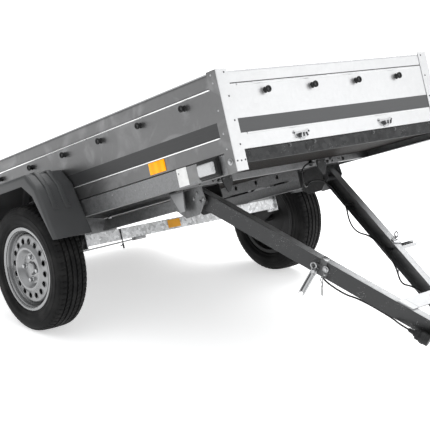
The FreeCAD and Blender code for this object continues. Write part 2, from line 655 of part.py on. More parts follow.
def make_rails():
    web, wide = "rail_wall", "rail_wide"
    up, down = "( rail_tall / 2 )", "( - rail_tall / 2 )"
    loop = [("0", down), (wide, down), (wide, down + " + " + web), (web, down + " + " + web),
            (web, up + " - " + web), (wide, up + " - " + web), (wide, up), ("0", up)]
    rail = pad("drawbar_rail", "YZ_Plane", "- rail_tail", "rail_length + rail_tail", [loop])
    rail.Placement = RAIL
    start = ("0", "- cheek_out + 3", "0")
    sleeve_long = "cheek_out - cheek_in - cheek - 6"
    sleeve = drawbar_rod("hinge_sleeve", start, "sleeve_radius", sleeve_long)
    bore = drawbar_rod("hinge_bore", ("0", "- cheek_out - 3", "0"), "pin_radius + fit",
                       "cheek_out - cheek_in + 6")
    both = cut("rail_bored", fuse("rail_and_sleeve", [rail, sleeve]), bore)
    keep(both, "drawbar_rail_right")
    mirror(both, "drawbar_rail_left")

    def span(at):
        return "( rail_spread - ( %s ) * tan(rail_angle ) - 3 )" % at
    at, end = "cross_bar_at", "cross_bar_at + cross_bar_deep"
    top = "rail_tall / 2 + fit"
    bar = pad("cross_bar", "XY_Plane", top, "nose_plate",
              [[(at, "- " + span(at)), (end, "- " + span(end)), (end, span(end)), (at, span(at))]])
    keep(bar, "drawbar_cross_bar", DRAWBAR)

    nose = []
    for index, low in enumerate((top, "- rail_tall / 2 - fit - nose_plate")):
        loop = [("nose_at", "- " + span("nose_at")), ("nose_end", "- nose_half"),
                ("nose_end", "nose_half"),
                ("nose_at", span("nose_at"))]
        nose.append(pad("nose_plate_%d" % index, "XY_Plane", low, "nose_plate", [loop]))
    keep(group("nose", nose), "nose_plates", DRAWBAR)


def make_head():
    """Pressed coupling head: a hollow housing that ends in the ball socket."""
    up, low = "( rail_tall / 2 )", "( - rail_tall / 2 )"
    rim = "( - ball_low - socket_cut )"

    def profile(inset):
        return [("head_at - " + inset, low + " - " + inset), ("nose_end + 5", low + " - " + inset),
                ("ball_at", rim + " - " + inset),
                ("ball_at", "- ball_low + ball_radius - " + inset + " / 2"),
                ("nose_end + 5", up + " - " + inset), ("head_at - " + inset, up + " - " + inset)]
    shell = pad("head_shell", "XZ_Plane", "- head_half", "2 * head_half", [profile("0")])
    room = pad("head_room", "XZ_Plane", "- head_half + head_wall", "2 * ( head_half - head_wall )",
               [profile("head_wall")])
    dome = doc.addObject("Part::Sphere", "head_dome")
    ball = doc.addObject("Part::Sphere", "head_ball")
    for sphere, radius in ((dome, "ball_radius + socket_wall"), (ball, "ball_radius")):
        bind(sphere, "Radius", radius)
        bind(sphere, "Placement.Base.x", "ball_at")
        bind(sphere, "Placement.Base.z", "- ball_low")
    mouth = rod("head_mouth", "z", ("ball_at", "0", "- ball_low - 2 * ball_radius"), "ball_radius",
                "2 * ball_radius")
    below = box("head_below", ("ball_at - 60", "- 60", rim + " - 60"), ("120", "120", "60"))
    solid = fuse("head_solid", [shell, dome])
    tools = fuse("head_tools", [room, ball, mouth, below])
    keep(cut("head", solid, tools), "coupling_head", DRAWBAR)

    def roof(back):
        rise = "( %s + ball_low - ball_radius ) / ( ball_at - nose_end - 5 )" % up
        return "- ball_low + ball_radius + fit + %s * %s" % (back, rise)
    grip = [("ball_at - 90", roof("90")), ("ball_at - 50", roof("50")), ("ball_at - 50", "30"),
            ("ball_at - 120", "84"), ("ball_at - 190", "84"), ("ball_at - 190", "74"),
            ("ball_at - 124", "74"), ("ball_at - 90", "44")]
    keep(pad("coupling_handle", "XZ_Plane", "- 11", "22", [grip]), "coupling_handle", DRAWBAR)


def make_hinge_brackets():
    """Cheeks, top plate and back plate that carry each drawbar hinge pin."""
    hinge_x, hinge_z = "( - hinge_back )", "( - hinge_drop )"
    top = "( - frame_drop + sheet )"
    loop = [(hinge_x + " - 95", top), (hinge_x + " - 143", hinge_z + " - 24"),
            (hinge_x + " - 107", hinge_z + " - 50"), (hinge_x + " - 22", hinge_z + " - 48"),
            (hinge_x + " + 33", hinge_z + " + 4"), (hinge_x + " + 24", top)]
    cheeks = []
    for name, low in (("out", "- cheek_out - cheek"), ("in", "- cheek_in - cheek")):
        cheeks.append(pad("cheek_" + name, "XZ_Plane", low, "cheek", [loop]))
    roof = box("cheek_roof", (hinge_x + " - 143", "- cheek_out - cheek", top + " - cheek"),
               ("167", "cheek_out - cheek_in + cheek", "cheek"))
    back = box("cheek_back", ("- under_front", "- under_out", "- strip_low"),
               ("cheek", "under_out - cheek_in", "strip_low - frame_drop + sheet"))
    gusset = pad("gusset", "XZ_Plane", "- under_out", "cheek",
                 [[("- under_front + 4", "- strip_low + 8"), ("- under_front + 45", "- strip_low - 13"),
                   ("- under_front + 80", "- strip_low - 13"), ("- under_front + 92", top),
                   ("- under_front + 4", top)]])
    tab_near, tab_far = "- rail_spread + tab_in", "- rail_spread + tab_in + tab_wide"
    tab = pad("hinge_tab", "YZ_Plane", "- cross_back", "cheek",
              [[(tab_near + " + 32", "- 114"), (tab_near + " + 18", "- 114"), (tab_near, "- 76"),
                (tab_near, "- 46"), (tab_far, "- 49"), (tab_far, "- frame_drop - 3")]])
    pin = rod("hinge_pin", "y", (hinge_x, "- cheek_out - cheek - 6", hinge_z), "pin_radius",
              "cheek_out - cheek_in + cheek + 12")
    shelf = box("cheek_shelf", (hinge_x + " - 143", "- under_out", top + " - cheek"),
                ("90", "under_out - cheek_out", "cheek"))
    both = fuse("hinge_bracket", cheeks + [roof, back, gusset, shelf, pin])
    keep(group("hinge_brackets", [both, tab]), "hinge_bracket_right", BED)
    mirror(nodes[-1], "hinge_bracket_left")


WINGS = (("- 10", "- 6"), ("10", "- 6"), ("keeper_wing", "13"), ("keeper_wing + 13", "22"),
         ("keeper_wing + 5", "31"), ("14", "24"), ("- 14", "24"), ("- keeper_wing - 5", "31"),
         ("- keeper_wing - 13", "22"), ("- keeper_wing", "13"))


def make_locks():
    """Over-centre locks on the rails, hanging open, and their keepers on the front board."""
    hang = Rotation(HINGE_Y, number("handle_lean"))
    thrown = Rotation(Vector(1, 0, 0), -90).multiply(Rotation(HINGE_Y, number("handle_swing")))
    for side, turn, stand_off in (("right", hang, "- lock_plate - 1"),
                                  ("left", thrown, "- lock_plate - handle_deep / 2 - 1")):
        plate = box("lock_plate_" + side, ("lock_at", "- lock_plate", "- lock_tall / 2"),
                    ("lock_long", "lock_plate", "lock_tall"))
        boss = rod("lock_boss_" + side, "y",
                   ("lock_at + lock_pivot", "- lock_plate - handle_wide - 4", "- lock_drop"),
                   "lock_boss", "handle_wide + 6")
        handle = box("lock_handle_" + side, ("- handle_deep / 2", "- handle_wide", "- handle_long"),
                     ("handle_deep", "handle_wide", "handle_long + handle_deep / 2"))
        room = box("lock_handle_room_" + side,
                   ("- handle_deep / 2 + handle_wall", "- handle_wide + handle_wall", "- handle_long - 1"),
                   ("handle_deep", "handle_wide - 2 * handle_wall", "handle_long + handle_deep"))
        channel = cut("lock_channel_" + side, handle, room)
        spot = Vector(number("lock_at + lock_pivot"), number(stand_off), number("- lock_drop"))
        channel.Placement = Placement(spot, turn)
        lock = fuse("lock_" + side, [plate, boss, channel])
        if side == "right":
            keep(lock, "drawbar_lock_right", RAIL)
        else:
            lock.Placement = RAIL
            mirror(lock, "drawbar_lock_left")

    hook = [("0", "keeper_low"), ("keeper_reach", "keeper_low"), ("keeper_reach", "keeper_low + 18"),
            ("keeper_reach - 3", "keeper_low + 18"), ("keeper_reach - 3", "keeper_low + 3"),
            ("3", "keeper_low + 3"), ("3", "keeper_low + 26"), ("0", "keeper_low + 26")]
    keepers = []
    for name, middle in (("right", "- keeper_half"), ("left", "keeper_half")):
        catch = pad("keeper_hook_" + name, "XZ_Plane", middle + " - keeper_long / 2", "keeper_long",
                    [hook])
        wings = pad("keeper_wings_" + name, "YZ_Plane", "0", "3",
                    [[("%s + ( %s )" % (middle, across), "keeper_low + " + up) for across, up in WINGS]])
        keepers.append(fuse("keeper_" + name, [catch, wings]))
    keep(group("keepers", keepers), "lock_keepers", BED)


# Fittings

def hook(name, turn, base):
    """One tarpaulin knob that stands off a board, eight-sided because there are many."""
    stem = doc.addObject("Part::Prism", name + "_stem")
    head = doc.addObject("Part::Prism", name + "_head")
    for prism, radius, high in ((stem, "hook_stem", "hook_stand - hook_head_deep / 2"),
                                (head, "hook_head", "hook_head_deep")):
        bind(prism, "Polygon", "hole_sides")
        bind(prism, "Circumradius", radius)
        bind(prism, "Height", high)
    spot = Vector(*[number(text) for text in base])
    stem.Placement = Placement(spot, turn)
    offset = turn.multVec(Vector(0, 0, number("hook_stand - hook_head_deep")))
    head.Placement = Placement(spot + offset, turn)
    return fuse(name, [stem, head])


def make_hooks():
    right = []
    for index in range(int(number("hook_count"))):
        at = "- hook_first - %d * hook_step" % index
        right.append(hook("side_hook_%d" % index, Rotation(Vector(1, 0, 0), 90),
                          (at, "- " + OUTER, "hook_up")))
    side = keep(group("side_hooks", right), "tarp_hooks_right", BED)
    mirror(side, "tarp_hooks_left")
    for name, face, turn in (("front", "0", 90), ("rear", "- box_length", -90)):
        row = []
        for index in range(int(number("end_hook_count"))):
            across = "( %d - ( end_hook_count - 1 ) / 2 ) * end_hook_step" % index
            row.append(hook("%s_hook_%d" % (name, index), Rotation(HINGE_Y, turn),
                            (face, across, "hook_up")))
        keep(group(name + "_hooks", row), "tarp_hooks_" + name, BED)


def make_lamps():
    """Front position lamps, rear lamps and side reflectors."""
    low_y = "- %s - lamp_base" % OUTER
    base = box("front_lamp_base", ("- lamp_back - lamp_long", low_y, "- lamp_low"),
               ("lamp_long", "lamp_base", "lamp_tall"))
    lens = box("front_lamp_glass",
               ("- lamp_back - lamp_long + 6", "- %s - lamp_deep" % OUTER, "- lamp_low + 6"),
               ("lamp_long - 12", "lamp_deep - lamp_base", "lamp_tall - 12"))
    first = keep(group("lamp_base", [base]), "front_lamp_base_right", BED)
    second = keep(group("lamp_glass", [lens]), "front_lamp_lens_right", BED)
    mirror(first, "front_lamp_base_left")
    mirror(second, "front_lamp_lens_left")

    rear_y = "- rear_lamp_half - rear_lamp_long / 2"
    base = box("rear_lamp_base", ("- box_length - lamp_base", rear_y, "- lamp_low"),
               ("lamp_base", "rear_lamp_long", "lamp_tall - 4"))
    lens = box("rear_lamp_glass", ("- box_length - lamp_deep", rear_y + " + 4", "- lamp_low + 4"),
               ("lamp_deep - lamp_base", "rear_lamp_long - 8", "lamp_tall - 12"))
    both = fuse("rear_lamp", [base, lens])
    keep(both, "rear_lamp_right", BED)
    mirror(both, "rear_lamp_left")

    spot = box("reflector",
               ("- reflector_back - reflector_long", "- %s - reflector_deep" % OUTER, "reflector_low"),
               ("reflector_long", "reflector_deep", "reflector_tall"))
    first = keep(group("reflectors", [spot]), "side_reflector_right", BED)
    mirror(first, "side_reflector_left")


def make_gate_hinges():
    """Knuckle hinges of the tailgate: pins on the rear sill, straps on the gate."""
    axis_x = "( - box_length - gate_hinge_out )"
    fixed, moving = [], []
    ring_long = "knuckle_long - fit"
    for name, middle in (("right", "- gate_hinge_half"), ("left", "gate_hinge_half")):
        parts = [rod("gate_pin_" + name, "y", (axis_x, middle + " - 1.5 * knuckle_long", "0"),
                     "gate_pin", "3 * knuckle_long")]
        for index, start in enumerate((" - 1.5 * knuckle_long", " + 0.5 * knuckle_long + fit")):
            side = middle + start
            tag = "%s_%d" % (name, index)
            parts.append(rod("gate_knuckle_" + tag, "y", (axis_x, side, "0"), "knuckle_radius", ring_long))
            parts.append(box("gate_ear_" + tag, ("- box_length - sheet", side, "- frame_drop / 2"),
                             ("sheet", ring_long, "frame_drop / 2 + sheet")))
        fixed.append(fuse("gate_fixed_" + name, parts))
        start = middle + " - 0.5 * knuckle_long + fit"
        ring = rod("gate_strap_ring_" + name, "y", (axis_x, start, "0"), "knuckle_radius",
                   "knuckle_long - 2 * fit")
        strap = box("gate_strap_" + name, ("- box_length - sheet", start, "0"),
                    ("sheet", "knuckle_long - 2 * fit", "lower_bead - bead_half - 4"))
        hole = rod("gate_bore_" + name, "y", (axis_x, middle + " - knuckle_long", "0"),
                   "gate_pin + fit", "2 * knuckle_long")
        moving.append(cut("gate_leaf_" + name, fuse("gate_leaf_solid_" + name, [ring, strap]), hole))
    keep(group("gate_fixed", fixed), "gate_hinge_pins", BED)
    keep(group("gate_moving", moving), "gate_hinge_straps", BED)


def smooth_route(points):
    """A route whose runs are joined by arcs as large as the runs allow."""
    edges = []
    start = points[0]
    for before, corner, after in zip(points, points[1:], points[2:]):
        back, ahead = before - corner, after - corner
        turn = math.pi - back.getAngle(ahead)
        reach = 0.45 * min(back.Length, ahead.Length)
        print("cable arc radius %.1f" % (reach / math.tan(turn / 2)))
        first = corner + back.normalize() * reach
        last = corner + ahead.normalize() * reach
        middle_line = (back + ahead).normalize()
        radius = reach / math.tan(turn / 2)
        middle = corner + middle_line * (radius / math.cos(turn / 2) - radius)
        edges.append(Part.LineSegment(start, first).toShape())
        edges.append(Part.Arc(first, middle, last).toShape())
        start = last
    edges.append(Part.LineSegment(start, points[-1]).toShape())
    return Part.Wire(edges)


def cable(name, points):
    """A cable's tube along its route."""
    spots = [Vector(*[number(text) for text in point]) for point in points]
    route = doc.addObject("Part::Feature", name + "_route")
    route.Shape = smooth_route(spots)
    ring = doc.addObject("Part::RegularPolygon", name + "_ring")
    bind(ring, "Polygon", "cable_sides")
    bind(ring, "Circumradius", "cable_radius")
    ring.Placement = Placement(spots[0], Rotation(Vector(0, 0, 1), spots[1] - spots[0]))
    tube = doc.addObject("Part::Sweep", name + "_tube")
    tube.Sections = [ring]
    tube.Spine = (route, ["Edge%d" % (index + 1) for index in range(len(route.Shape.Edges))])
    tube.Solid = True
    tube.Frenet = False
    return tube


BED_CABLE = (("- cross_back + 1", "grommet_at", "- grommet_drop"),
             ("- cross_back + 50", "grommet_at - 4", "- grommet_drop"),
             ("- cross_back + 34", "grommet_at - 98", "- grommet_drop - 6"),
             ("- cross_back + 22", "grommet_at - 92", "- 150"),
             ("- hinge_back + 16", "grommet_at - 26", "- 152"),
             ("- hinge_back", "grommet_at + 6", "- hinge_drop"),
             ("- hinge_back", "grommet_at + cable_turn - fit", "- hinge_drop"))
# Along the left rail, then over to the right one: along the rail, off its web and up
LEFT_RUN = (("0.108", "cable_off + 4", "- 12"), ("0.172", "cable_off", "- 16"),
            ("0.225", "cable_off", "- 66"), ("0.29", "cable_off", "- 68"),
            ("0.357", "cable_off", "- 26"), ("0.458", "cable_off", "- 12"),
            ("0.542", "cable_off", "- 26"), ("0.598", "cable_off", "- 66"),
            ("0.654", "cable_off", "- 26"), ("0.73", "cable_off", "- 4"))
RIGHT_RUN = (("0.73", "cable_off", "- 4"), ("0.458", "cable_off", "- 6"), ("0.458", "cable_off", "- 66"),
             ("0.561", "24", "- 68"), ("0.618", "14", "- 44"),
             ("( plug_at - 105 ) / rail_length", "10", "- 42"),
             ("( plug_at - 67 ) / rail_length", "- plug_radius - 4", "- rail_tall / 2 + 6"),
             ("( plug_at - 26 - fit ) / rail_length", "- plug_radius - 4", "- rail_tall / 2 + 6"))


def beside_rail(side, point):
    """A point given as a share of a rail's length, off its web and above its middle, in the drawbar frame."""
    share, off, up = point
    along = "( %s ) * rail_length" % share
    return ("( %s ) * cos(rail_angle ) - ( %s ) * sin(rail_angle )" % (along, off),
            "%s ( rail_spread - ( %s ) * sin(rail_angle ) - ( %s ) * cos(rail_angle ) )"
            % (side, along, off), up)


def make_cables():
    """The lighting cable, clipped along the drawbar, from the chassis to the parked plug."""
    lead = cable("bed_cable", BED_CABLE)
    grommet = rod("grommet", "x", ("- cross_back", "grommet_at", "- grommet_drop"),
                  "grommet_radius", "grommet_deep")
    keep(fuse("bed_lead", [lead, grommet]), "cable_chassis", BED)
    start = [("0", "grommet_at + cable_turn", "0"), ("2", "grommet_at + 90", "0"),
             ("62", "grommet_at + 98", "- 4")]
    route = start + [beside_rail("", point) for point in LEFT_RUN]
    route += [beside_rail("-", point) for point in RIGHT_RUN]
    keep(cable("drawbar_cable", route), "cable_drawbar", DRAWBAR)


def make_plug():
    """Trailer plug parked on the outer side of the right rail."""
    body = rod("plug_body", "x", ("plug_at", "- plug_radius - 4", "- rail_tall / 2 + 6"), "plug_radius",
               "plug_long")
    tail = rod("plug_tail", "x", ("plug_at - 26", "- plug_radius - 4", "- rail_tall / 2 + 6"), "9", "30")
    clip = box("plug_clip", ("plug_at + 8", "- 5", "- 22"), ("30", "5", "20"))
    keep(fuse("plug", [body, tail, clip]), "trailer_plug", RAIL)


make_floor()
make_boards()
make_posts()
make_frame()
make_under_rails()
make_axle()
make_wheel()
make_mudguards()
make_rails()
make_head()
make_hinge_brackets()
make_locks()
make_hooks()
make_lamps()
make_gate_hinges()
make_plug()
make_cables()
doc.recompute()

for thing in doc.Objects:
    if "Invalid" in thing.State or "Error" in thing.State:
        raise RuntimeError("%s did not rebuild: %s" % (thing.Name, thing.State))
for node in nodes:
    if node.Shape.isNull() or not node.Shape.isValid():
        raise RuntimeError("%s has no valid shape" % node.Label)

os.makedirs("parts", exist_ok=True)
for node in nodes:
    node.Shape.exportStep("parts/%s.step" % node.Label)
print(len(nodes), "nodes; drawbar turned", round(drawbar_turn, 3), "degrees to the bed")
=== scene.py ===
import json
import math

import bmesh
import bpy
from bpy.props import FloatProperty, FloatVectorProperty, IntProperty, PointerProperty
from mathutils import Matrix, Vector


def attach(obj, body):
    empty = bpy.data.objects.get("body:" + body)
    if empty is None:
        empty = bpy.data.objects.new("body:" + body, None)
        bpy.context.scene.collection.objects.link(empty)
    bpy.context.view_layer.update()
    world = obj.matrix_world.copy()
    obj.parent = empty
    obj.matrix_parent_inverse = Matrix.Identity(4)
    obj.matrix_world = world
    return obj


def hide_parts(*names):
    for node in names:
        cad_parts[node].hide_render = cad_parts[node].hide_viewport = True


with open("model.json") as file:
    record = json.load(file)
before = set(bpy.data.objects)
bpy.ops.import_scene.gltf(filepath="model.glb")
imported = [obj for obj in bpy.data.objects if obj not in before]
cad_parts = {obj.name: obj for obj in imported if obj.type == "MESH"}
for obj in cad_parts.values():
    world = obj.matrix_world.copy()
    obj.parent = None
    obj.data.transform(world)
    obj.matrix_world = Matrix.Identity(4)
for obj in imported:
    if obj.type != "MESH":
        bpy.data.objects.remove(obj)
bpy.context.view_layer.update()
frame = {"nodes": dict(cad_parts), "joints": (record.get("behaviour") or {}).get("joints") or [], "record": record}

bl_info = {
    "name": "Utility trailer looks",
    "version": (1, 0, 0),
    "blender": (4, 5, 0),
    "location": "3D View > Sidebar > Trailer",
    "description": "Dresses a single-axle box trailer, parked nose-up on its coupling",
    "category": "Object",
}


# The bed's frame has its origin at the front board's foot, the drawbar's at its hinge, and the rail's at the
# hinge too, in the web of the right rail. All are in metres with x forward, and pairs are made on the right.

GATE_AXIS = Vector((-2.118, 0, 0))
DRAWBAR_AXIS = Vector((-0.471, 0, -0.131))
BALL = Vector((1.475, 0, -0.03))
RAIL_WEB = Vector((0, -0.385, 0))
RAIL_ANGLE = math.radians(17)
at = Matrix.Translation
MIRROR = Matrix.Scale(-1, 4, Vector((0, 1, 0)))
TURN_OUTWARD = Matrix.Rotation(math.radians(90), 4, "X")
FORWARD, BACKWARD, OUTWARD, UPWARD = (1, 0, 0), (-1, 0, 0), (0, -1, 0), (0, 0, 1)


def place_of(entries, name):
    """Where a joint or mount of the record stands in the row frame."""
    return Vector(next(entry["pos_m"] for entry in entries if entry["name"] == name))


def frame_between(start, end, own_start, own_end):
    """The frame, turned about Y only, in which two known points stand at two places of the row frame."""
    across, own = end - start, own_end - own_start
    turn = math.atan2(own.z, own.x) - math.atan2(across.z, across.x)
    return at(start) @ Matrix.Rotation(turn, 4, "Y") @ at(-own_start)


hinge_place = place_of(frame["joints"], "drawbar_hinge")
ball_place = place_of(frame["record"]["mounts"], "ball_socket")
BED = frame_between(place_of(frame["joints"], "tailgate_hinge"), hinge_place, GATE_AXIS, DRAWBAR_AXIS)
DRAWBAR = frame_between(hinge_place, ball_place, Vector(), BALL)
RAIL = DRAWBAR @ at(RAIL_WEB) @ Matrix.Rotation(RAIL_ANGLE, 4, "Z")
WHEEL = at(place_of(frame["joints"], "wheel_right_spin")) @ TURN_OUTWARD
AXLE = BED.inverted() @ WHEEL.translation
SIDES = (("right", Matrix()), ("left", MIRROR))


def tilt(degrees, axis):
    """A turn about one axis."""
    return Matrix.Rotation(math.radians(degrees), 4, axis)


def length(name, description, default):
    """A size that the panel shows."""
    return FloatProperty(name=name, description=description, default=default, unit="LENGTH")


def colour_of(name, description, *default):
    """A base colour that the panel shows."""
    return FloatVectorProperty(name=name, description=description, subtype="COLOR", size=4,
                               default=(*default, 1))


class TrailerSizes(bpy.types.PropertyGroup):
    """Sizes of the dressing, in metres."""
    box_length: length("Box length", "Front board to tailgate", 2.11)
    box_half: length("Half width", "Middle to a side board's face", 0.6)
    hook_height: length("Hook height", "Above the boards' lower edge", 0.207)
    hook_first: length("First side hook", "Behind the front board", 0.215)
    side_hooks: IntProperty(name="Side hooks", description="Tarpaulin knobs on each side", default=7)
    end_hooks: IntProperty(name="End hooks", description="Tarpaulin knobs on each end", default=4)
    end_hook_step: length("End hook spacing", "Between knobs on an end", 0.253)
    tread_steps: IntProperty(name="Tread steps", description="Divisions round a tyre", default=320)
    vents: IntProperty(name="Vents", description="Round holes in a wheel disc", default=16)


class TrailerColours(bpy.types.PropertyGroup):
    """Base colours of the finishes."""
    zinc: colour_of("Zinc", "Galvanised chassis", 0.33, 0.333, 0.337)
    sheet: colour_of("Sheet", "Boards", 0.6, 0.603, 0.607)
    # Painted shade: the long boards' outer faces take this darker colour, though they are the same zinc sheet as
    # the ends.
    side: colour_of("Side sheet", "Outer faces of the long boards", 0.17, 0.17, 0.171)
    stripe: colour_of("Stripe", "Grey stripe round the boards", 0.07, 0.071, 0.073)
    rubber: colour_of("Rubber", "Tyres", 0.007, 0.007, 0.0072)
    plastic: colour_of("Plastic", "Mudguards and knobs", 0.016, 0.0163, 0.0167)
    wheel: colour_of("Wheel", "Silver wheel paint", 0.27, 0.272, 0.275)
    amber: colour_of("Amber", "Side reflectors", 1.0, 0.36, 0.0)
    red: colour_of("Red", "Rear lamps", 0.5, 0.006, 0.008)


def sizes():
    return bpy.context.scene.trailer_sizes


def colours():
    return bpy.context.scene.trailer_colours


# Shader nodes

def node(tree, kind, fields=None, **settings):
    """Add a shader node whose inputs take plain values or other nodes' outputs."""
    made = tree.nodes.new(kind)
    for key, value in settings.items():
        setattr(made, key, value)
    for key, value in (fields or {}).items():
        if isinstance(value, bpy.types.NodeSocket):
            tree.links.new(value, made.inputs[key])
        else:
            made.inputs[key].default_value = value
    return made


def math_node(tree, operation, first, second=0.0):
    return node(tree, "ShaderNodeMath", {0: first, 1: second}, operation=operation).outputs[0]


def times(tree, first, second):
    return math_node(tree, "MULTIPLY", first, second)


def band(tree, value, low, high):
    """A mask that is on between two values."""
    return times(tree, math_node(tree, "GREATER_THAN", value, low), math_node(tree, "LESS_THAN", value, high))


def mix(tree, factor, first, second):
    """Mix two colours, which are the node's inputs 6 and 7; their mix is its output 2."""
    return node(tree, "ShaderNodeMix", {"Factor": factor, 6: first, 7: second}, data_type="RGBA").outputs[2]


def spread(tree, value, low, high, start=0.0, end=1.0):
    """Map a value from one range to another, clamped."""
    return node(tree, "ShaderNodeMapRange", {"Value": value, "From Min": start, "From Max": end,
                                             "To Min": low, "To Max": high}).outputs["Result"]


def noise(tree, where, scale, detail, distortion=0.0):
    return node(tree, "ShaderNodeTexNoise", {"Vector": where, "Scale": scale, "Detail": detail,
                                             "Distortion": distortion}).outputs[0]


def apart(tree, where):
    """The x, y and z of some coordinates."""
    return node(tree, "ShaderNodeSeparateXYZ", {0: where}).outputs[:3]


def shade(colour, factor):
    return (colour[0] * factor, colour[1] * factor, colour[2] * factor, 1)


def blend(tree, first, second, share):
    """Two values in one, the second with a given share."""
    return math_node(tree, "ADD", times(tree, first, 1 - share), times(tree, second, share))


def about_one(tree, value, contrast):
    """A tone about 1 from a value about a half."""
    return math_node(tree, "ADD", times(tree, math_node(tree, "SUBTRACT", value, 0.5), contrast), 1.0)


def start_group(name, values):
    """Start a shader group that takes coordinates and some values."""
    group = bpy.data.node_groups.new(name, "ShaderNodeTree")
    group.interface.new_socket("Vector", in_out="INPUT", socket_type="NodeSocketVector")
    for key, default in values.items():
        group.interface.new_socket(key, in_out="INPUT", socket_type="NodeSocketFloat").default_value = default
    return group, node(group, "NodeGroupInput").outputs


def end_group(group, results):
    """Give a shader group the values that it puts out."""
    for key in results:
        group.interface.new_socket(key, in_out="OUTPUT", socket_type="NodeSocketFloat")
    node(group, "NodeGroupOutput", results)


def build_groups():
    """Effects that several finishes share."""
    group, given = start_group("Spangle", {"Scale": 90.0, "Contrast": 0.3})
    where = given["Vector"]
    specks = node(group, "ShaderNodeTexVoronoi", {"Vector": where, "Scale": 170.0}).outputs["Distance"]
    flecks = times(group, spread(group, specks, 1.0, 0.0, 0.1, 0.24),
                   spread(group, noise(group, where, 16.0, 3.0), 0.0, 1.0, 0.5, 0.62))
    cells = node(group, "ShaderNodeTexVoronoi", {"Vector": where, "Scale": given["Scale"]}).outputs["Color"]
    grey = node(group, "ShaderNodeRGBToBW", {"Color": cells}).outputs[0]
    both = blend(group, grey, noise(group, where, 420.0, 3.0), 0.5)
    both = blend(group, both, noise(group, where, 9.0, 4.0), 0.25)
    end_group(group, {"Tone": about_one(group, both, given["Contrast"]), "Height": both, "Flecks": flecks})

    group, given = start_group("Rolled sheet", {"Contrast": 0.12})
    drawn = node(group, "ShaderNodeMapping", {"Vector": given["Vector"], "Scale": (1.2, 1.2, 90.0)}).outputs[0]
    lines = noise(group, drawn, 7.0, 5.0)
    both = blend(group, lines, noise(group, given["Vector"], 3.0, 3.0), 0.4)
    end_group(group, {"Tone": about_one(group, both, given["Contrast"]), "Height": lines})

    group, given = start_group("Moulded grain", {"Scale": 900.0})
    end_group(group, {"Tone": noise(group, given["Vector"], 6.0, 3.0),
                      "Height": noise(group, given["Vector"], given["Scale"], 4.0)})


def use_group(tree, name, where, **fields):
    """What a shared effect puts out at some coordinates."""
    return node(tree, "ShaderNodeGroup", {"Vector": where, **fields},
                node_tree=bpy.data.node_groups[name]).outputs


def start_material(name, **fields):
    """A material with plain values on its shader, its tree, and its Object coordinates."""
    material = bpy.data.materials.new(name)
    material.use_nodes = True
    tree = material.node_tree
    for key, value in fields.items():
        tree.nodes["Principled BSDF"].inputs[key.replace("_", " ")].default_value = value
    return material, tree, node(tree, "ShaderNodeTexCoord").outputs["Object"]


def finish(tree, colour, rough, height, relief, metal=None):
    """Link what varies over a surface to its shader; relief is the strength and distance of its bump."""
    strength, distance = relief
    bump = node(tree, "ShaderNodeBump", {"Height": height, "Strength": strength,
                                         "Distance": distance}).outputs[0]
    for key, value in (("Base Color", colour), ("Roughness", rough), ("Metallic", metal), ("Normal", bump)):
        if value is not None:
            tree.links.new(value, tree.nodes["Principled BSDF"].inputs[key])


def own_frame(tree, where, place):
    """Object coordinates turned into a moving part's own frame at rest."""
    back = place.inverted()
    return node(tree, "ShaderNodeMapping", {"Vector": where, "Location": back.translation,
                                            "Rotation": back.to_euler()}).outputs[0]


def tinted(tree, colour, tone):
    """A base colour, plain or from a node, made lighter and darker by a tone about 1."""
    plain = colour if isinstance(colour, bpy.types.NodeSocket) else colour[:3]
    grey = node(tree, "ShaderNodeCombineXYZ", {0: tone, 1: tone, 2: tone}).outputs[0]
    return node(tree, "ShaderNodeVectorMath", {0: plain, 1: grey}, operation="MULTIPLY").outputs[0]


def zinc_tone(factor):
    return shade(colours().zinc, factor)


# Where the finishes change, painted light and shade among them, in the frames of the drawbar and the bed

FLANGE_EDGE, WEB_MIDDLE = (0.0338, 0.0348), (0.001, 0.002)
FOLD_LINES, FOLD_HALF = (0.0055, 0.0385), 0.0007
CHEEK_MIDDLE = (0.4015, 0.4025)
SIDE_SKIN, END_SKIN = 0.0022, 0.0018
STRIPE = (0.061, 0.115)
GROOVE = (0.2419, 0.2461)
BEAD_EDGES, BEAD_WIDTH = (0.0562, 0.2335), 0.0042
FOOT_LINE = 0.0024
# A painted shade colour for the dark lines in the ends' groove and along the boards' foot.
PAINTED_LINE_SHADE = (0.02, 0.02, 0.02, 1)
# A painted highlight for the beads of the long sides.
PAINTED_BEAD_HIGHLIGHT = (0.95, 0.95, 0.95, 1)


def galvanised(name, tone, contrast, rough, flecked=0.0, scale=130.0, relief=(0.12, 0.0006), place=None,
               **fields):
    """Spangled zinc of one tone, or of the tones that a mask gives in a part's own frame, with pale flecks."""
    material, tree, where = start_material(name, **fields)
    if place is not None:
        where = own_frame(tree, where, place)
    spangle = use_group(tree, "Spangle", where, Scale=scale, Contrast=contrast)
    colour = tone(tree, where) if callable(tone) else zinc_tone(tone)
    colour = tinted(tree, colour, spangle["Tone"])
    if flecked:
        colour = mix(tree, times(tree, spangle["Flecks"], flecked), colour, colours().sheet)
    finish(tree, colour, spread(tree, spangle["Height"], *rough, 0.3, 0.7), spangle["Height"], relief)
    return material


def bracket_tones(tree, where):
    """The cheeks of the hinge brackets, in shadow on their inner sides."""
    outer = spread(tree, math_node(tree, "ABSOLUTE", apart(tree, where)[1]), 0.0, 1.0, *CHEEK_MIDDLE)
    return mix(tree, outer, zinc_tone(0.2), zinc_tone(0.74))


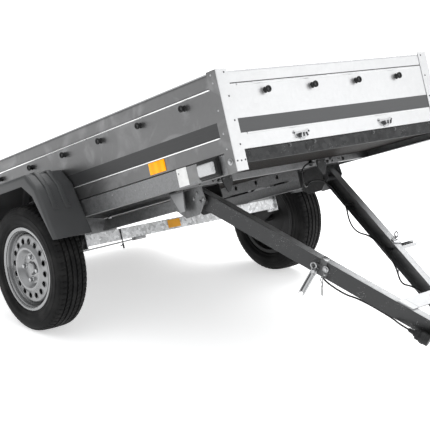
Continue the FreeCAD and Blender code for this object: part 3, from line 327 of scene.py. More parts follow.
def drawbar_painted_light(tree, where):
    """Webs darker than the flanges, darkest on their outer faces, with two dark fold lines on the flanges: painted
    shade on the webs and folds, painted light on the flanges.
    """
    x, y, z = apart(tree, where)
    flange = spread(tree, math_node(tree, "ABSOLUTE", z), 0.0, 1.0, *FLANGE_EDGE)
    inner = math_node(tree, "SUBTRACT", -RAIL_WEB.y, math_node(tree, "ABSOLUTE", y))
    inward = math_node(tree, "SUBTRACT", times(tree, inner, math.cos(RAIL_ANGLE)),
                       times(tree, x, math.sin(RAIL_ANGLE)))
    web = mix(tree, spread(tree, inward, 0.0, 1.0, *WEB_MIDDLE), zinc_tone(0.19), zinc_tone(0.6))
    colour = mix(tree, flange, web, zinc_tone(1.45))
    for fold in FOLD_LINES:
        line = band(tree, inward, fold - FOLD_HALF, fold + FOLD_HALF)
        colour = mix(tree, times(tree, line, flange), colour, zinc_tone(0.25))
    return colour


def board_sheet(name, striped):
    """Rolled zinc sheet, darker on the long sides as painted shade, with or without the grey stripe round its
    outer faces.
    """
    material, tree, where = start_material(name, Metallic=0.8)
    bed = own_frame(tree, where, BED)
    rolled = use_group(tree, "Rolled sheet", bed, Contrast=0.22)
    spangle = use_group(tree, "Spangle", bed, Scale=70.0, Contrast=0.12)
    x, y, z = apart(tree, bed)
    out_side = math_node(tree, "GREATER_THAN", math_node(tree, "ABSOLUTE", y), sizes().box_half - SIDE_SKIN)
    out_end = math_node(tree, "MAXIMUM", math_node(tree, "GREATER_THAN", x, -END_SKIN),
                        math_node(tree, "LESS_THAN", x, END_SKIN - sizes().box_length))
    outside = math_node(tree, "MAXIMUM", out_side, out_end)
    # Painted shade: the long sides' outer faces take the darker side colour, with random smears in it, and the
    # ends keep the sheet colour.
    smears = spread(tree, noise(tree, bed, 4.5, 9.0, 2.4), 0.0, 1.0, 0.52, 0.75)
    side = mix(tree, smears, colours().side, shade(colours().side, 1.5))
    shaded_long_side = times(tree, out_side, math_node(tree, "SUBTRACT", 1.0, out_end))
    colour = mix(tree, shaded_long_side, colours().sheet, side)
    # Painted highlights: pale lines along the long sides' beads, where their curves catch the light.
    for low in (BEAD_EDGES if striped else ()):
        bead_highlight = times(tree, band(tree, z, low, low + BEAD_WIDTH), out_side)
        colour = mix(tree, bead_highlight, colour, PAINTED_BEAD_HIGHLIGHT)
    colour = tinted(tree, colour, times(tree, rolled["Tone"], spangle["Tone"]))
    rough = spread(tree, rolled["Height"], 0.32, 0.46, 0.3, 0.7)
    height = times(tree, rolled["Height"], 0.15)
    metal = None
    if striped:
        painted = times(tree, band(tree, z, *STRIPE), outside)
        # The grey stripe is real paint; its darker tone on the long sides is painted shade.
        stripe = mix(tree, out_side, colours().stripe, shade(colours().stripe, 0.4))
        # Painted shade: a dark line in the groove under the ends' top rail, and along the outer faces' foot where
        # the boards meet the frame.
        groove = times(tree, band(tree, z, *GROOVE), out_end)
        foot = times(tree, math_node(tree, "LESS_THAN", z, FOOT_LINE), outside)
        shaded_lines = times(tree, math_node(tree, "MAXIMUM", groove, foot), 0.9)
        colour = mix(tree, shaded_lines, mix(tree, painted, colour, stripe), PAINTED_LINE_SHADE)
        rough = math_node(tree, "ADD", rough, times(tree, painted, 0.08))
        height = math_node(tree, "SUBTRACT", height, groove)
        metal = spread(tree, painted, 0.86, 0.0)
    finish(tree, colour, rough, height, (0.25, 0.0008), metal)
    return material


def film_plywood():
    """Brown film-faced plywood with a wire-mesh anti-slip print."""
    material, tree, where = start_material("film-faced plywood", Specular_IOR_Level=0.05, IOR=1.12)
    bed = own_frame(tree, where, BED)
    x, y = apart(tree, bed)[:2]
    waves = []
    for slant in (0.5, -0.5):
        along = math_node(tree, "ADD", x, times(tree, y, slant))
        waves.append(math_node(tree, "ABSOLUTE", math_node(tree, "SINE", times(tree, along, 620.0))))
    mesh = spread(tree, math_node(tree, "MINIMUM", *waves), 1.0, 0.0, 0.0, 0.25)
    cloud = noise(tree, bed, 5.0, 6.0)
    film = mix(tree, spread(tree, cloud, 0.0, 1.0, 0.35, 0.65), (0.022, 0.0205, 0.0195, 1),
               (0.029, 0.0272, 0.026, 1))
    colour = mix(tree, times(tree, mesh, 0.5), film, (0.016, 0.012, 0.01, 1))
    finish(tree, colour, spread(tree, cloud, 0.38, 0.55), mesh, (0.35, 0.0005))
    return material


def grained(name, scale, low, high, rough, relief, dusty=False, **fields):
    """Grained plastic, rubber or coating between two colours, mixed by a cloud or by road dust."""
    material, tree, where = start_material(name, **fields)
    grain = use_group(tree, "Moulded grain", where, Scale=scale)
    share = spread(tree, noise(tree, where, 14.0, 8.0), 0.0, 0.7, 0.45, 0.8) if dusty else grain["Tone"]
    finish(tree, mix(tree, share, low, high), spread(tree, grain["Tone"], *rough), grain["Height"], relief)
    return material


def moulded(name, lift, rough):
    """Black plastic, lifted towards grey."""
    return grained(name, 700.0, shade(colours().plastic, 0.85 * lift), shade(colours().plastic, 1.2 * lift),
                   (rough - 0.05, rough + 0.08), (0.18, 0.0004), IOR=1.49, Specular_IOR_Level=0.32)


def wheel_silver():
    """Silver paint with fine flakes under a coat."""
    material, tree, where = start_material("silver wheel paint", Metallic=0.7, Coat_Weight=0.35,
                                           Coat_Roughness=0.15)
    flake, cloud = noise(tree, where, 1500.0, 2.0), noise(tree, where, 12.0, 4.0)
    tone = math_node(tree, "ADD", spread(tree, flake, -0.08, 0.08, 0.35, 0.65), spread(tree, cloud, 0.9, 1.06))
    finish(tree, tinted(tree, colours().wheel, tone), spread(tree, cloud, 0.22, 0.34), flake, (0.05, 0.0002))
    return material


def prisms(tree, where, scale, randomness):
    return node(tree, "ShaderNodeTexVoronoi", {"Vector": where, "Scale": scale,
                                               "Randomness": randomness}).outputs[0]


def lens(name, colour, clear, rough=0.08):
    """Lamp plastic with a fine prism pattern under its surface."""
    material, tree, where = start_material(name, Roughness=rough, IOR=1.49, Transmission_Weight=clear,
                                           Specular_IOR_Level=0.3, Coat_Weight=0.2, Coat_Roughness=0.05)
    prism = prisms(tree, where, 260.0, 0.15)
    colour = mix(tree, spread(tree, prism, 0.0, 1.0, 0.1, 0.6), shade(colour, 1.0), shade(colour, 0.62))
    finish(tree, colour, None, prism, (0.3, 0.0012))
    return material


def amber_reflector():
    """A prism reflector in three fields, with a painted glow."""
    amber = colours().amber
    # Painted light: the reflector glows in its own amber, though it is no lamp.
    material, tree, where = start_material("amber reflector", Roughness=0.3, IOR=1.49, Specular_IOR_Level=0.25,
                                           Emission_Color=shade(amber, 1.0), Emission_Strength=0.35)
    bed = own_frame(tree, where, BED)
    fields = math_node(tree, "SINE", times(tree, apart(tree, bed)[0], 150.0))
    prism = prisms(tree, bed, 300.0, 0.1)
    deep = mix(tree, spread(tree, fields, 0.0, 1.0, -0.6, 0.6), amber, (1.0, 0.5, 0.0, 1))
    colour = mix(tree, spread(tree, prism, 0.0, 0.35, 0.1, 0.6), deep, shade(amber, 0.6))
    finish(tree, colour, None, prism, (0.3, 0.0012))
    return material


def paper(name, colour):
    """A blank label or plate, a little soiled."""
    material, tree, where = start_material(name, Coat_Weight=0.3)
    cloud = noise(tree, where, 30.0, 5.0)
    colour = mix(tree, spread(tree, cloud, 0.0, 1.0, 0.4, 0.7), colour, shade(colour, 0.86))
    finish(tree, colour, spread(tree, cloud, 0.35, 0.5), cloud, (0.08, 0.0004))
    return material


def build_materials():
    """Every finish, by the name that pieces ask for."""
    plain = {"Metallic": 0.92, "Specular_IOR_Level": 0.46}
    dull = {"Metallic": 0.1, "Specular_IOR_Level": 0.05}
    return {
        "galvanised": galvanised("galvanised steel", 1.0, 0.9, (0.32, 0.56), **plain),
        "mid_zinc": galvanised("mid zinc", 0.74, 1.0, (0.34, 0.58), flecked=0.5, **plain),
        # Painted shade on the front sill, darker zinc where shade falls under the box; painted light on the axle
        # beam, lighter zinc against the shadow of the bed.
        "sill_zinc": galvanised("shaded zinc", 0.17, 1.6, (0.5, 0.74), flecked=0.5, scale=60.0, **dull),
        "beam_zinc": galvanised("spangled zinc with painted light", 1.9, 2.6, (0.3, 0.54), scale=75.0, **plain),
        "dark_zinc": galvanised("weathered zinc", 0.36, 1.0, (0.36, 0.6), flecked=0.9, **plain),
        "bright_zinc": galvanised("bright zinc", 1.35, 0.16, (0.26, 0.4), scale=60.0,
                                  relief=(0.05, 0.0004), Metallic=0.95),
        "board_zinc": board_sheet("board sheet", True),
        "post_zinc": board_sheet("post sheet", False),
        # The drawbar's zinc has painted shade on its webs and folds and painted light on its flanges.
        "drawbar_zinc": galvanised("drawbar zinc", drawbar_painted_light, 0.4, (0.36, 0.54), flecked=0.5, scale=120.0,
                                   relief=(0.1, 0.0006), place=DRAWBAR, Metallic=0.9),
        "bracket_zinc": galvanised("bracket zinc", bracket_tones, 1.0, (0.36, 0.54), scale=120.0,
                                   relief=(0.1, 0.0006), place=BED, Metallic=0.8),
        "plywood": film_plywood(),
        "black_plastic": moulded("moulded black plastic", 1.0, 0.5),
        "guard_plastic": moulded("mudguard plastic", 3.4, 0.36),
        "cable": moulded("cable sheath", 0.7, 0.42),
        "tyre": grained("tyre rubber", 500.0, colours().rubber, (0.03, 0.0295, 0.0285, 1), (0.52, 0.74),
                        (0.22, 0.0005), dusty=True, IOR=1.52, Specular_IOR_Level=0.12),
        # The hub's own dark coating, used as painted shade on the wheels' inner faces too.
        "hub_steel": grained("dark hub coating and wheel shade", 300.0, (0.012, 0.012, 0.0122, 1), (0.035, 0.035, 0.0355, 1),
                             (0.35, 0.6), (0.3, 0.0008), Metallic=0.5),
        "wheel_silver": wheel_silver(),
        "clear_lens": lens("clear lens", (0.9, 0.91, 0.92, 1), 0.2, 0.16),
        "red_lens": lens("red lens", colours().red, 0.15),
        "amber_lens": amber_reflector(),
        "label": paper("blank label", (0.83, 0.83, 0.82, 1)),
        "grey_label": paper("grey label", (0.2, 0.2, 0.2, 1)),
        "amber_plate": paper("amber plate", (0.9, 0.4, 0.012, 1)),
    }


FINISH = {}


# Shapes made in small meshes of their own

SHARP = math.radians(30)


def bevel(shape, edges, offset, segments):
    bmesh.ops.bevel(shape, geom=edges, offset=offset, segments=segments, affect="EDGES", profile=0.5,
                    material=-1)


def rounded(shape, edge, segments=2):
    """Round a shape's sharp edges."""
    if edge > 0:
        sharp = [item for item in shape.edges if item.calc_face_angle(0) > SHARP]
        bevel(shape, sharp, edge, segments)
    return shape


def block(low, high, edge=0.001, segments=2):
    """A block between two corners, its edges rounded."""
    shape = bmesh.new()
    bmesh.ops.create_cube(shape, size=1)
    low, high = Vector(low), Vector(high)
    place = at((low + high) / 2) @ Matrix.Diagonal((*(high - low), 1))
    return rounded(moved(shape, place), edge, segments)


def pin(radius, length, sides=20, edge=0.0, end_radius=None):
    """A round bar that runs along +z from the origin."""
    shape = bmesh.new()
    end_radius = radius if end_radius is None else end_radius
    bmesh.ops.create_cone(shape, cap_ends=True, segments=sides, radius1=radius, radius2=end_radius,
                          depth=length)
    return rounded(moved(shape, at((0, 0, length / 2))), edge)


def plate(outline, thickness, edge=0.0, segments=2):
    """A flat plate with an outline in x and y, thick along +z."""
    shape = bmesh.new()
    face = shape.faces.new([shape.verts.new((x, y, 0)) for x, y in outline])
    face.normal_update()
    if face.normal.z > 0:
        face.normal_flip()
    lifted = bmesh.ops.extrude_face_region(shape, geom=[face])["geom"]
    bmesh.ops.translate(shape, verts=[item for item in lifted if isinstance(item, bmesh.types.BMVert)],
                        vec=(0, 0, thickness))
    bmesh.ops.recalc_face_normals(shape, faces=shape.faces)
    return rounded(shape, edge, segments)


def turned(profile, steps=32, closed=False):
    """A shape turned about the z axis from a profile of radii and heights."""
    shape = bmesh.new()
    line = [shape.verts.new((radius, 0, height)) for radius, height in profile]
    edges = [shape.edges.new(pair) for pair in zip(line, line[1:])]
    if closed:
        edges.append(shape.edges.new((line[-1], line[0])))
    bmesh.ops.spin(shape, geom=line + edges, cent=(0, 0, 0), axis=(0, 0, 1), angle=math.tau, steps=steps,
                   use_merge=True)
    bmesh.ops.remove_doubles(shape, verts=shape.verts, dist=1e-5)
    bmesh.ops.recalc_face_normals(shape, faces=shape.faces)
    return shape


def wire(points, radius, closed=False):
    """A round wire along a smooth line through control points."""
    curve = bpy.data.curves.new("wire", "CURVE")
    curve.dimensions = "3D"
    curve.bevel_depth = radius
    curve.bevel_resolution = 3
    curve.resolution_u = 8
    curve.use_fill_caps = True
    spline = curve.splines.new("NURBS")
    spline.points.add(len(points) - 1)
    for item, point in zip(spline.points, points):
        item.co = (*point, 1)
    spline.order_u = 3
    spline.use_endpoint_u = not closed
    spline.use_cyclic_u = closed
    holder = bpy.data.objects.new("wire", curve)
    mesh = bpy.data.meshes.new_from_object(holder)
    shape = bmesh.new()
    shape.from_mesh(mesh)
    bpy.data.objects.remove(holder)
    bpy.data.curves.remove(curve)
    bpy.data.meshes.remove(mesh)
    bmesh.ops.recalc_face_normals(shape, faces=shape.faces)
    return shape


def hexagon_bolt(radius, height, washer):
    """A hexagon head on its washer, standing along +z."""
    shape = pin(washer, 0.0016, 20, 0.0003)
    stamp(shape, pin(radius, height, 6, 0.0006), at((0, 0, 0.0014)))
    return shape


def round_head(radius, height):
    """A rivet or pan head, standing along +z."""
    return turned([(0, height), (radius * 0.55, height * 0.88), (radius * 0.9, height * 0.45),
                   (radius, 0)], 12)


def facing(point, direction):
    """A place whose z axis points along a direction."""
    return at(point) @ Vector(direction).to_track_quat("Z", "Y").to_matrix().to_4x4()


def spun(index, count):
    """One of a number of even turns about the z axis."""
    return Matrix.Rotation(index * math.tau / count, 4, "Z")


def moved(shape, place):
    """Move a shape, with its faces turned right again where the place mirrors it."""
    bmesh.ops.transform(shape, matrix=place, verts=shape.verts)
    if place.determinant() < 0:
        bmesh.ops.reverse_faces(shape, faces=shape.faces)
    return shape


def mesh_from(name, shape):
    """Turn a shape into a mesh and free it."""
    mesh = bpy.data.meshes.new(name)
    shape.to_mesh(mesh)
    shape.free()
    return mesh


def add_object(name, data):
    """Put data into the scene as an object."""
    made = bpy.data.objects.new(name, data)
    bpy.context.scene.collection.objects.link(made)
    return made


def stamp(target, shape, place=Matrix(), paint=0):
    """Add a small shape to a larger one, at a place and in one of its finishes."""
    for face in moved(shape, place).faces:
        face.material_index = paint
    mesh = mesh_from("stamp", shape)
    target.from_mesh(mesh)
    bpy.data.meshes.remove(mesh)


def scatter(target, shape, spots, direction, paint=0):
    """Add a small shape at several spots, standing along a direction."""
    for spot in spots:
        stamp(target, shape.copy(), facing(spot, direction), paint)
    shape.free()


def put(name, shape, place, body, finishes, instead_of=(), smooth=35):
    """Turn a shape into a finished piece that rides on a body."""
    for face in moved(shape, place).faces:
        face.smooth = True
    for edge in shape.edges:
        edge.smooth = edge.calc_face_angle(0) < math.radians(smooth)
    mesh = mesh_from(name, shape)
    for item in finishes:
        mesh.materials.append(FINISH[item])
    piece = add_object(name, mesh)
    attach(piece, body)
    if instead_of:
        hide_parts(*instead_of)


def both_hands(name, build, place, body, finishes, instead_of=(), smooth=35):
    """Put a piece on the right and its mirror image on the left."""
    for side, hand in SIDES:
        nodes = [item + "_" + side for item in instead_of]
        rides = body + "_" + side if body == "wheel" else body
        put("%s_%s" % (name, side), build(), hand @ place, rides, finishes, nodes, smooth)


def dress(names, item):
    """Give CAD nodes a finish."""
    for name in names:
        for slot in frame["nodes"][name].material_slots:
            slot.material = FINISH[item]


CAMERA_PLACE, CAMERA_AIM = (3.333, -3.18, 1.542), (-0.7241, 0.652, -0.225)
FOCAL_LENGTH, LENS_SHIFT = 90.54, (-0.0056, 0.0035)
HORIZON, ZENITH, FLOOR_GLOW = 0.25, 1.4, 0.55
SOFTBOXES = (("front softbox", (4.0, 3.3, 2.1), (0, 0, 0.8), 3.4, 54),
             ("top softbox", (-1.5, 3.0, 4.0), (0, 0, 0.4), 4.0, 150))


class TRAILER_OT_stage(bpy.types.Operator):
    """Camera, soft studio light and a pale floor"""
    bl_idname = "trailer.stage"
    bl_label = "Stage"

    def execute(self, context):
        scene = context.scene
        camera = bpy.data.cameras.new("camera")
        camera.lens = FOCAL_LENGTH
        camera.sensor_width = 36
        camera.shift_x, camera.shift_y = LENS_SHIFT
        camera.clip_end = 200
        scene.camera = add_object("camera", camera)
        forward = Vector(CAMERA_AIM).normalized()
        right = forward.cross(Vector((0, 0, 1))).normalized()
        turn = Matrix((right, right.cross(forward), -forward)).transposed()
        scene.camera.matrix_world = at(CAMERA_PLACE) @ turn.to_4x4()

        shape = bmesh.new()
        bmesh.ops.create_grid(shape, x_segments=1, y_segments=1, size=70)
        floor = add_object("floor", mesh_from("floor", shape))
        floor.data.materials.append(start_material(
            "pale floor", Roughness=0.8, Base_Color=(0.88, 0.88, 0.88, 1), Specular_IOR_Level=0.0,
            Emission_Color=(1, 1, 1, 1), Emission_Strength=FLOOR_GLOW)[0])

        scene.world = bpy.data.worlds.new("studio")
        scene.world.use_nodes = True
        sky = scene.world.node_tree
        up = apart(sky, node(sky, "ShaderNodeTexCoord").outputs["Generated"])[2]
        back = sky.nodes["Background"].inputs
        back["Color"].default_value = (0.98, 0.99, 1.0, 1)
        sky.links.new(spread(sky, up, HORIZON, ZENITH), back["Strength"])
        scene.view_settings.view_transform = "Standard"
        for name, spot, aim, size, power in SOFTBOXES:
            light = bpy.data.lights.new(name, "AREA")
            light.shape = "SQUARE"
            light.size = size
            light.energy = power
            add_object(name, light).matrix_world = facing(spot, Vector(spot) - Vector(aim))
        return {"FINISHED"}


def pairs(*names):
    """The CAD nodes of both sides."""
    return ["%s_%s" % (name, side) for name in names for side in ("right", "left")]


NODE_FINISHES = {
    "post_zinc": pairs("corner_post_front", "corner_post_rear"),
    "drawbar_zinc": pairs("drawbar_rail") + ["drawbar_cross_bar", "nose_plates"],
    "mid_zinc": pairs("frame_side", "under_rail", "axle_bracket") + ["front_crossbeam"],
    "bracket_zinc": pairs("hinge_bracket"),
    "sill_zinc": ["front_sill"],
    "bright_zinc": ["lock_keepers"],
    "beam_zinc": ["axle_beam"],
}


SOFT_EDGES = pairs("drawbar_rail", "corner_post_front", "frame_side") + [
    "drawbar_cross_bar", "axle_beam", "front_crossbeam", "lock_keepers"]


def soften(solid, width):
    """Weld a CAD node's triangles and round its sharp edges with live modifiers."""
    weld = solid.modifiers.new("weld", "WELD")
    weld.merge_threshold = 1e-5
    edge = solid.modifiers.new("edges", "BEVEL")
    edge.width = width
    edge.segments = 2
    edge.limit_method = "ANGLE"
    edge.angle_limit = math.radians(35)
    edge.harden_normals = True


class TRAILER_OT_cad_finishes(bpy.types.Operator):
    """Finishes of the solids that show as they are"""
    bl_idname = "trailer.cad_finishes"
    bl_label = "Finishes of the CAD solids"

    def execute(self, context):
        build_groups()
        FINISH.update(build_materials())
        for entry in frame["record"]["subparts"]:
            dress([entry["node"]], entry["material_slot"])
        for item, names in NODE_FINISHES.items():
            dress(names, item)
        for name in SOFT_EDGES:
            soften(frame["nodes"][name], 0.0011)
        return {"FINISHED"}


TYRE_PROFILE = ((0.0625, 0.1656), (0.0625, 0.1852), (0.0662, 0.1868), (0.0686, 0.1905), (0.0698, 0.1985),
                (0.0718, 0.2), (0.0752, 0.2105), (0.0766, 0.2165), (0.0762, 0.2175), (0.0772, 0.2255),
                (0.0768, 0.2365), (0.0747, 0.2375), (0.0727, 0.2488), (0.0682, 0.2585), (0.0668, 0.2592),
                (0.0655, 0.2635), (0.0605, 0.2672), (0.0575, 0.2702), (0.048, 0.2718), (0.0405, 0.2724),
                (0.0395, 0.2662), (0.0335, 0.2662), (0.0325, 0.2727), (0.0245, 0.273), (0.016, 0.2733),
                (0.015, 0.267), (0.009, 0.267), (0.008, 0.2735))

# Cuts in the tread: their band off the middle, the radius they start at, every how many steps, and how deep
SIPES = ((0.0605, 0.0662, 0.2625, 5, 0.006), (0.042, 0.0605, 0.2695, 5, 0.005), (0.02, 0.03, 0.271, 4, 0.004))
GROOVED, CROWN, ZIGZAG = (0.0078, 0.041), 0.272, 0.0009


def tyre_shape():
    """A car-type tyre: ribs between four grooves, shoulder sipes, and rings on its sidewalls."""
    profile = [(radius, across) for across, radius in TYRE_PROFILE]
    profile += [(radius, -across) for radius, across in profile[::-1]]
    steps = sizes().tread_steps
    shape = turned(profile, steps, closed=True)
    for vert in shape.verts:
        radius = math.hypot(vert.co.x, vert.co.y)
        index = round(math.atan2(vert.co.y, vert.co.x) / math.tau * steps)
        across = abs(vert.co.z)
        for low, high, beyond, every, depth in SIPES:
            if low <= across <= high and radius > beyond and index % every == 0:
                vert.co *= Vector((1 - depth / radius, 1 - depth / radius, 1))
                break
        else:
            if GROOVED[0] < across < GROOVED[1] and radius > CROWN:
                vert.co.z += ZIGZAG * (1 if index % 4 < 2 else -1)
    return shape


class TRAILER_OT_tyres(bpy.types.Operator):
    """Tyres with tread"""
    bl_idname = "trailer.tyres"
    bl_label = "Tyres"

    def execute(self, context):
        both_hands("tyre_rubber", tyre_shape, WHEEL, "wheel", ["tyre"], ["tyre"], 40)
        return {"FINISHED"}


DISC_PROFILE = ((0.032, 0.0302), (0.0655, 0.0305), (0.0735, 0.0345), (0.0805, 0.0485), (0.086, 0.0552),
                (0.0905, 0.0562), (0.0955, 0.0545), (0.1025, 0.0488), (0.112, 0.0452), (0.1335, 0.0438),
                (0.141, 0.042), (0.1448, 0.0375), (0.1455, 0.0205), (0.149, 0.0205), (0.149, 0.0392),
                (0.1445, 0.0455), (0.134, 0.0478), (0.112, 0.0492), (0.1035, 0.0525), (0.0965, 0.0582),
                (0.0905, 0.0602), (0.0845, 0.0592), (0.0785, 0.0525), (0.0715, 0.0392), (0.0655, 0.0347),
                (0.032, 0.0342))
# A dark disc behind the wheel, painted shade that fills the view through the vents.
SHADE_DISC_PROFILE = ((0.087, -0.0325), (0.147, -0.0325), (0.147, -0.0313), (0.087, -0.0313))
BARREL_PROFILE = ((0.1822, 0.0628), (0.1655, 0.0612), (0.1652, 0.0445), (0.1635, 0.0415), (0.1525, 0.028),
                  (0.151, 0.0245), (0.151, -0.0245), (0.1525, -0.028), (0.1635, -0.0415), (0.1652, -0.0445),
                  (0.1655, -0.0628), (0.1822, -0.0628), (0.1825, -0.0648), (0.181, -0.0658), (0.1655, -0.0658),
                  (0.1625, -0.0635), (0.1622, -0.045), (0.161, -0.0425), (0.15, -0.029), (0.148, -0.026),
                  (0.148, 0.022), (0.1495, 0.0275), (0.1535, 0.0335), (0.1585, 0.0385), (0.1612, 0.0445),
                  (0.1618, 0.0515), (0.1632, 0.0575), (0.1658, 0.0612), (0.17, 0.0638), (0.1748, 0.0648),
                  (0.178, 0.0658), (0.1812, 0.0658), (0.1825, 0.0648))


def carve(shape, cutter):
    """Take one closed shape out of another."""
    holders = [add_object("carving", mesh_from("carving", item)) for item in (shape, cutter)]
    modifier = holders[0].modifiers.new("holes", "BOOLEAN")
    modifier.operation = "DIFFERENCE"
    modifier.solver = "EXACT"
    modifier.object = holders[1]
    ready = holders[0].evaluated_get(bpy.context.evaluated_depsgraph_get())
    result = bmesh.new()
    result.from_mesh(ready.to_mesh())
    ready.to_mesh_clear()
    for holder in holders:
        mesh = holder.data
        bpy.data.objects.remove(holder)
        bpy.data.meshes.remove(mesh)
    return result


VENT_RING, DISC_REACH, SHADE_LINE = 0.119, 0.1475, 0.0205
VENT_LIP = ((0.0127, 0.0004), (0.0134, 0.0012), (0.0148, 0.0011), (0.0164, 0.0))


def rim_shape():
    """A pressed wheel: a dished disc with round vents in a drop-centre barrel, its inner faces in painted shade,
    and a dark disc behind it as painted shade seen through the vents.
    """
    vents = [spun(index, sizes().vents) for index in range(sizes().vents)]
    cutter = bmesh.new()
    for spin in vents:
        stamp(cutter, pin(0.0128, 0.03, 24), spin @ at((VENT_RING, 0, 0.034)))
    wheel = carve(turned(DISC_PROFILE, 96, closed=True), cutter)
    stamp(wheel, turned(BARREL_PROFILE, 112, closed=True))
    for spin in vents:
        stamp(wheel, turned(VENT_LIP, 24), spin @ at((VENT_RING, 0, 0.0487)))
    stamp(wheel, turned(SHADE_DISC_PROFILE, 96, closed=True))
    # Painted shade: the disc's inner faces and the barrel's inner half take the dark hub finish.
    for face in wheel.faces:
        middle = face.calc_center_median()
        behind = face.normal.z < -0.1 if middle.xy.length < DISC_REACH else middle.z < SHADE_LINE
        face.material_index = 1 if behind else 0
    return wheel


def wheel_fittings():
    """Wheel bolts and a tyre valve."""
    shape = bmesh.new()
    for index in range(4):
        place = spun(index, 4) @ at((0.05, 0, 0.0342))
        stamp(shape, turned([(0.0132, 0), (0.0125, 0.0022), (0.0098, 0.0052), (0, 0.0052)], 24), place)
        stamp(shape, pin(0.0098, 0.013, 6, 0.0012), place @ at((0, 0, 0.004)))
    valve = tilt(76, "Z") @ at((0.1545, 0, 0.034)) @ tilt(18, "Y")
    stamp(shape, pin(0.0055, 0.018, 14, 0.0006, 0.0042), valve, 2)
    stamp(shape, pin(0.0042, 0.012, 14, 0.0006), valve @ at((0, 0, 0.0175)), 2)
    return shape


def hub_shape():
    """A hub: barrel and bolting flange behind the disc, and a low silver cap in its middle."""
    shape = turned([(0, -0.034), (0.086, -0.034), (0.088, -0.033), (0.088, -0.0315), (0.086, -0.0305),
                    (0.045, -0.03), (0.042, -0.027), (0.042, 0.012), (0.047, 0.018),
                    (0.064, 0.02), (0.066, 0.0215), (0.066, 0.0288), (0.0645, 0.0299), (0, 0.0299)], 48)
    for face in shape.faces:
        face.material_index = 1 if face.calc_center_median().z > 0.0295 else 0
    cap = [(0.0268, 0.029), (0.0268, 0.0345), (0.0258, 0.0395), (0.0232, 0.0434), (0.0192, 0.0446),
           (0.0165, 0.0441), (0.0148, 0.0449), (0, 0.0452)]
    stamp(shape, turned([(0, 0.029)] + cap, 48), paint=1)
    return shape


class TRAILER_OT_rims(bpy.types.Operator):
    """Pressed steel wheels and what is bolted to them"""
    bl_idname = "trailer.rims"
    bl_label = "Rims"

    def execute(self, context):
        both_hands("wheel_disc", rim_shape, WHEEL, "wheel", ["wheel_silver", "hub_steel"], ["rim"], 32)
        both_hands("wheel_bolts", wheel_fittings, WHEEL, "wheel", ["bright_zinc", "wheel_silver", "cable"])
        both_hands("wheel_hub", hub_shape, WHEEL, "wheel", ["hub_steel", "wheel_silver"], ["hub"], 30)
        return {"FINISHED"}


GUARD_OUTER = ((0.284, 0.09), (0.217, 0.317), (0.155, 0.389))
GUARD_ARCH = ((0.27, 0.076), (0.182, 0.289), (0.115, 0.343))


def arch_line(half):
    """A mudguard's outline from its front foot over the wheel to its rear foot."""
    return list(half) + [(-across, up) for across, up in half[::-1]]


def folds(shape, angle):
    """A shell's edges whose two faces meet at more than an angle."""
    return [edge for edge in shape.edges if len(edge.link_faces) == 2 and edge.calc_face_angle(0) > angle]


GUARD_OUT, GUARD_IN = -0.797, -0.6025


def guard_shape():
    """A moulded mudguard: a band over the wheel, an outer skirt and a flange on the board."""
    shape = bmesh.new()
    outer, arch = arch_line(GUARD_OUTER), arch_line(GUARD_ARCH)
    foot = GUARD_OUTER[0][1]
    arch[0], arch[-1] = (arch[0][0], foot), (arch[-1][0], foot)
    edges = []
    for line, across in ((arch, GUARD_OUT), (outer, GUARD_OUT), (outer, GUARD_IN), (arch, GUARD_IN)):
        corners = [shape.verts.new((x, across, z)) for x, z in line]
        edges.append([shape.edges.new(pair) for pair in zip(corners, corners[1:])])
    for first, second in zip(edges, edges[1:]):
        bmesh.ops.bridge_loops(shape, edges=first + second)
    bmesh.ops.recalc_face_normals(shape, faces=shape.faces)
    bevel(shape, folds(shape, 1.3), 0.016, 5)
    knees = [edge for edge in folds(shape, 0.4)
             if abs((edge.verts[0].co - edge.verts[1].co).normalized().y) > 0.9]
    bevel(shape, knees, 0.022, 5)
    bmesh.ops.solidify(shape, geom=shape.faces, thickness=0.004)
    return shape


RIB_LINE = ((0.118, 0.389), (0.155, 0.389), (0.217, 0.317), (0.248, 0.214))


def guard_ribs():
    """Two flat round-ended ribs on each slope, from the top over the knees."""
    shape = bmesh.new()
    line = [Vector((x, 0, z)) for x, z in RIB_LINE]
    runs = [(end - start).normalized() for start, end in zip(line, line[1:])]
    outward = [Vector((-run.z, 0, run.x)) for run in runs]
    aims = [outward[0]] + [(a + b) / (1 + a.dot(b)) for a, b in zip(outward, outward[1:])] + [outward[-1]]
    outline = [point + aim * 0.004 for point, aim in zip(line, aims)]
    outline += [point - aim * 0.003 for point, aim in reversed(list(zip(line, aims)))]
    flat = [(point.x, point.z) for point in outline]
    for across in (-0.737, -0.677):
        for hand in (Matrix(), Matrix.Scale(-1, 4, Vector((1, 0, 0)))):
            turn = hand @ at((0, across + 0.013, 0)) @ TURN_OUTWARD
            stamp(shape, plate(flat, 0.026, 0.0024, 3), turn)
    return shape


class TRAILER_OT_mudguards(bpy.types.Operator):
    """Moulded mudguards"""
    bl_idname = "trailer.mudguards"
    bl_label = "Mudguards"

    def execute(self, context):
        place = BED @ at((AXLE.x, 0, AXLE.z))
        both_hands("mudguard_shell", guard_shape, place, "bed", ["guard_plastic"], ["mudguard"], 30)
        both_hands("mudguard_ribs", guard_ribs, place, "bed", ["guard_plastic"], (), 40)
        return {"FINISHED"}


def knob_shape():
    """A tarpaulin knob: a spool with a ring head and a recessed socket screw."""
    return turned([(0, 0.0141), (0.0045, 0.0141), (0.005, 0.0171), (0.0072, 0.0174), (0.0078, 0.0198),
                   (0.0102, 0.0212), (0.0124, 0.0206), (0.0132, 0.0188), (0.0128, 0.0144), (0.0104, 0.0122),
                   (0.0096, 0.0098), (0.0098, 0.006), (0.0108, 0.003), (0.012, 0.0)], 28)


def knob_screw():
    return turned([(0, 0.0154), (0.0022, 0.0154), (0.0024, 0.0172), (0.0042, 0.0172), (0.0046, 0.0164),
                   (0.0046, 0.0136)], 16)


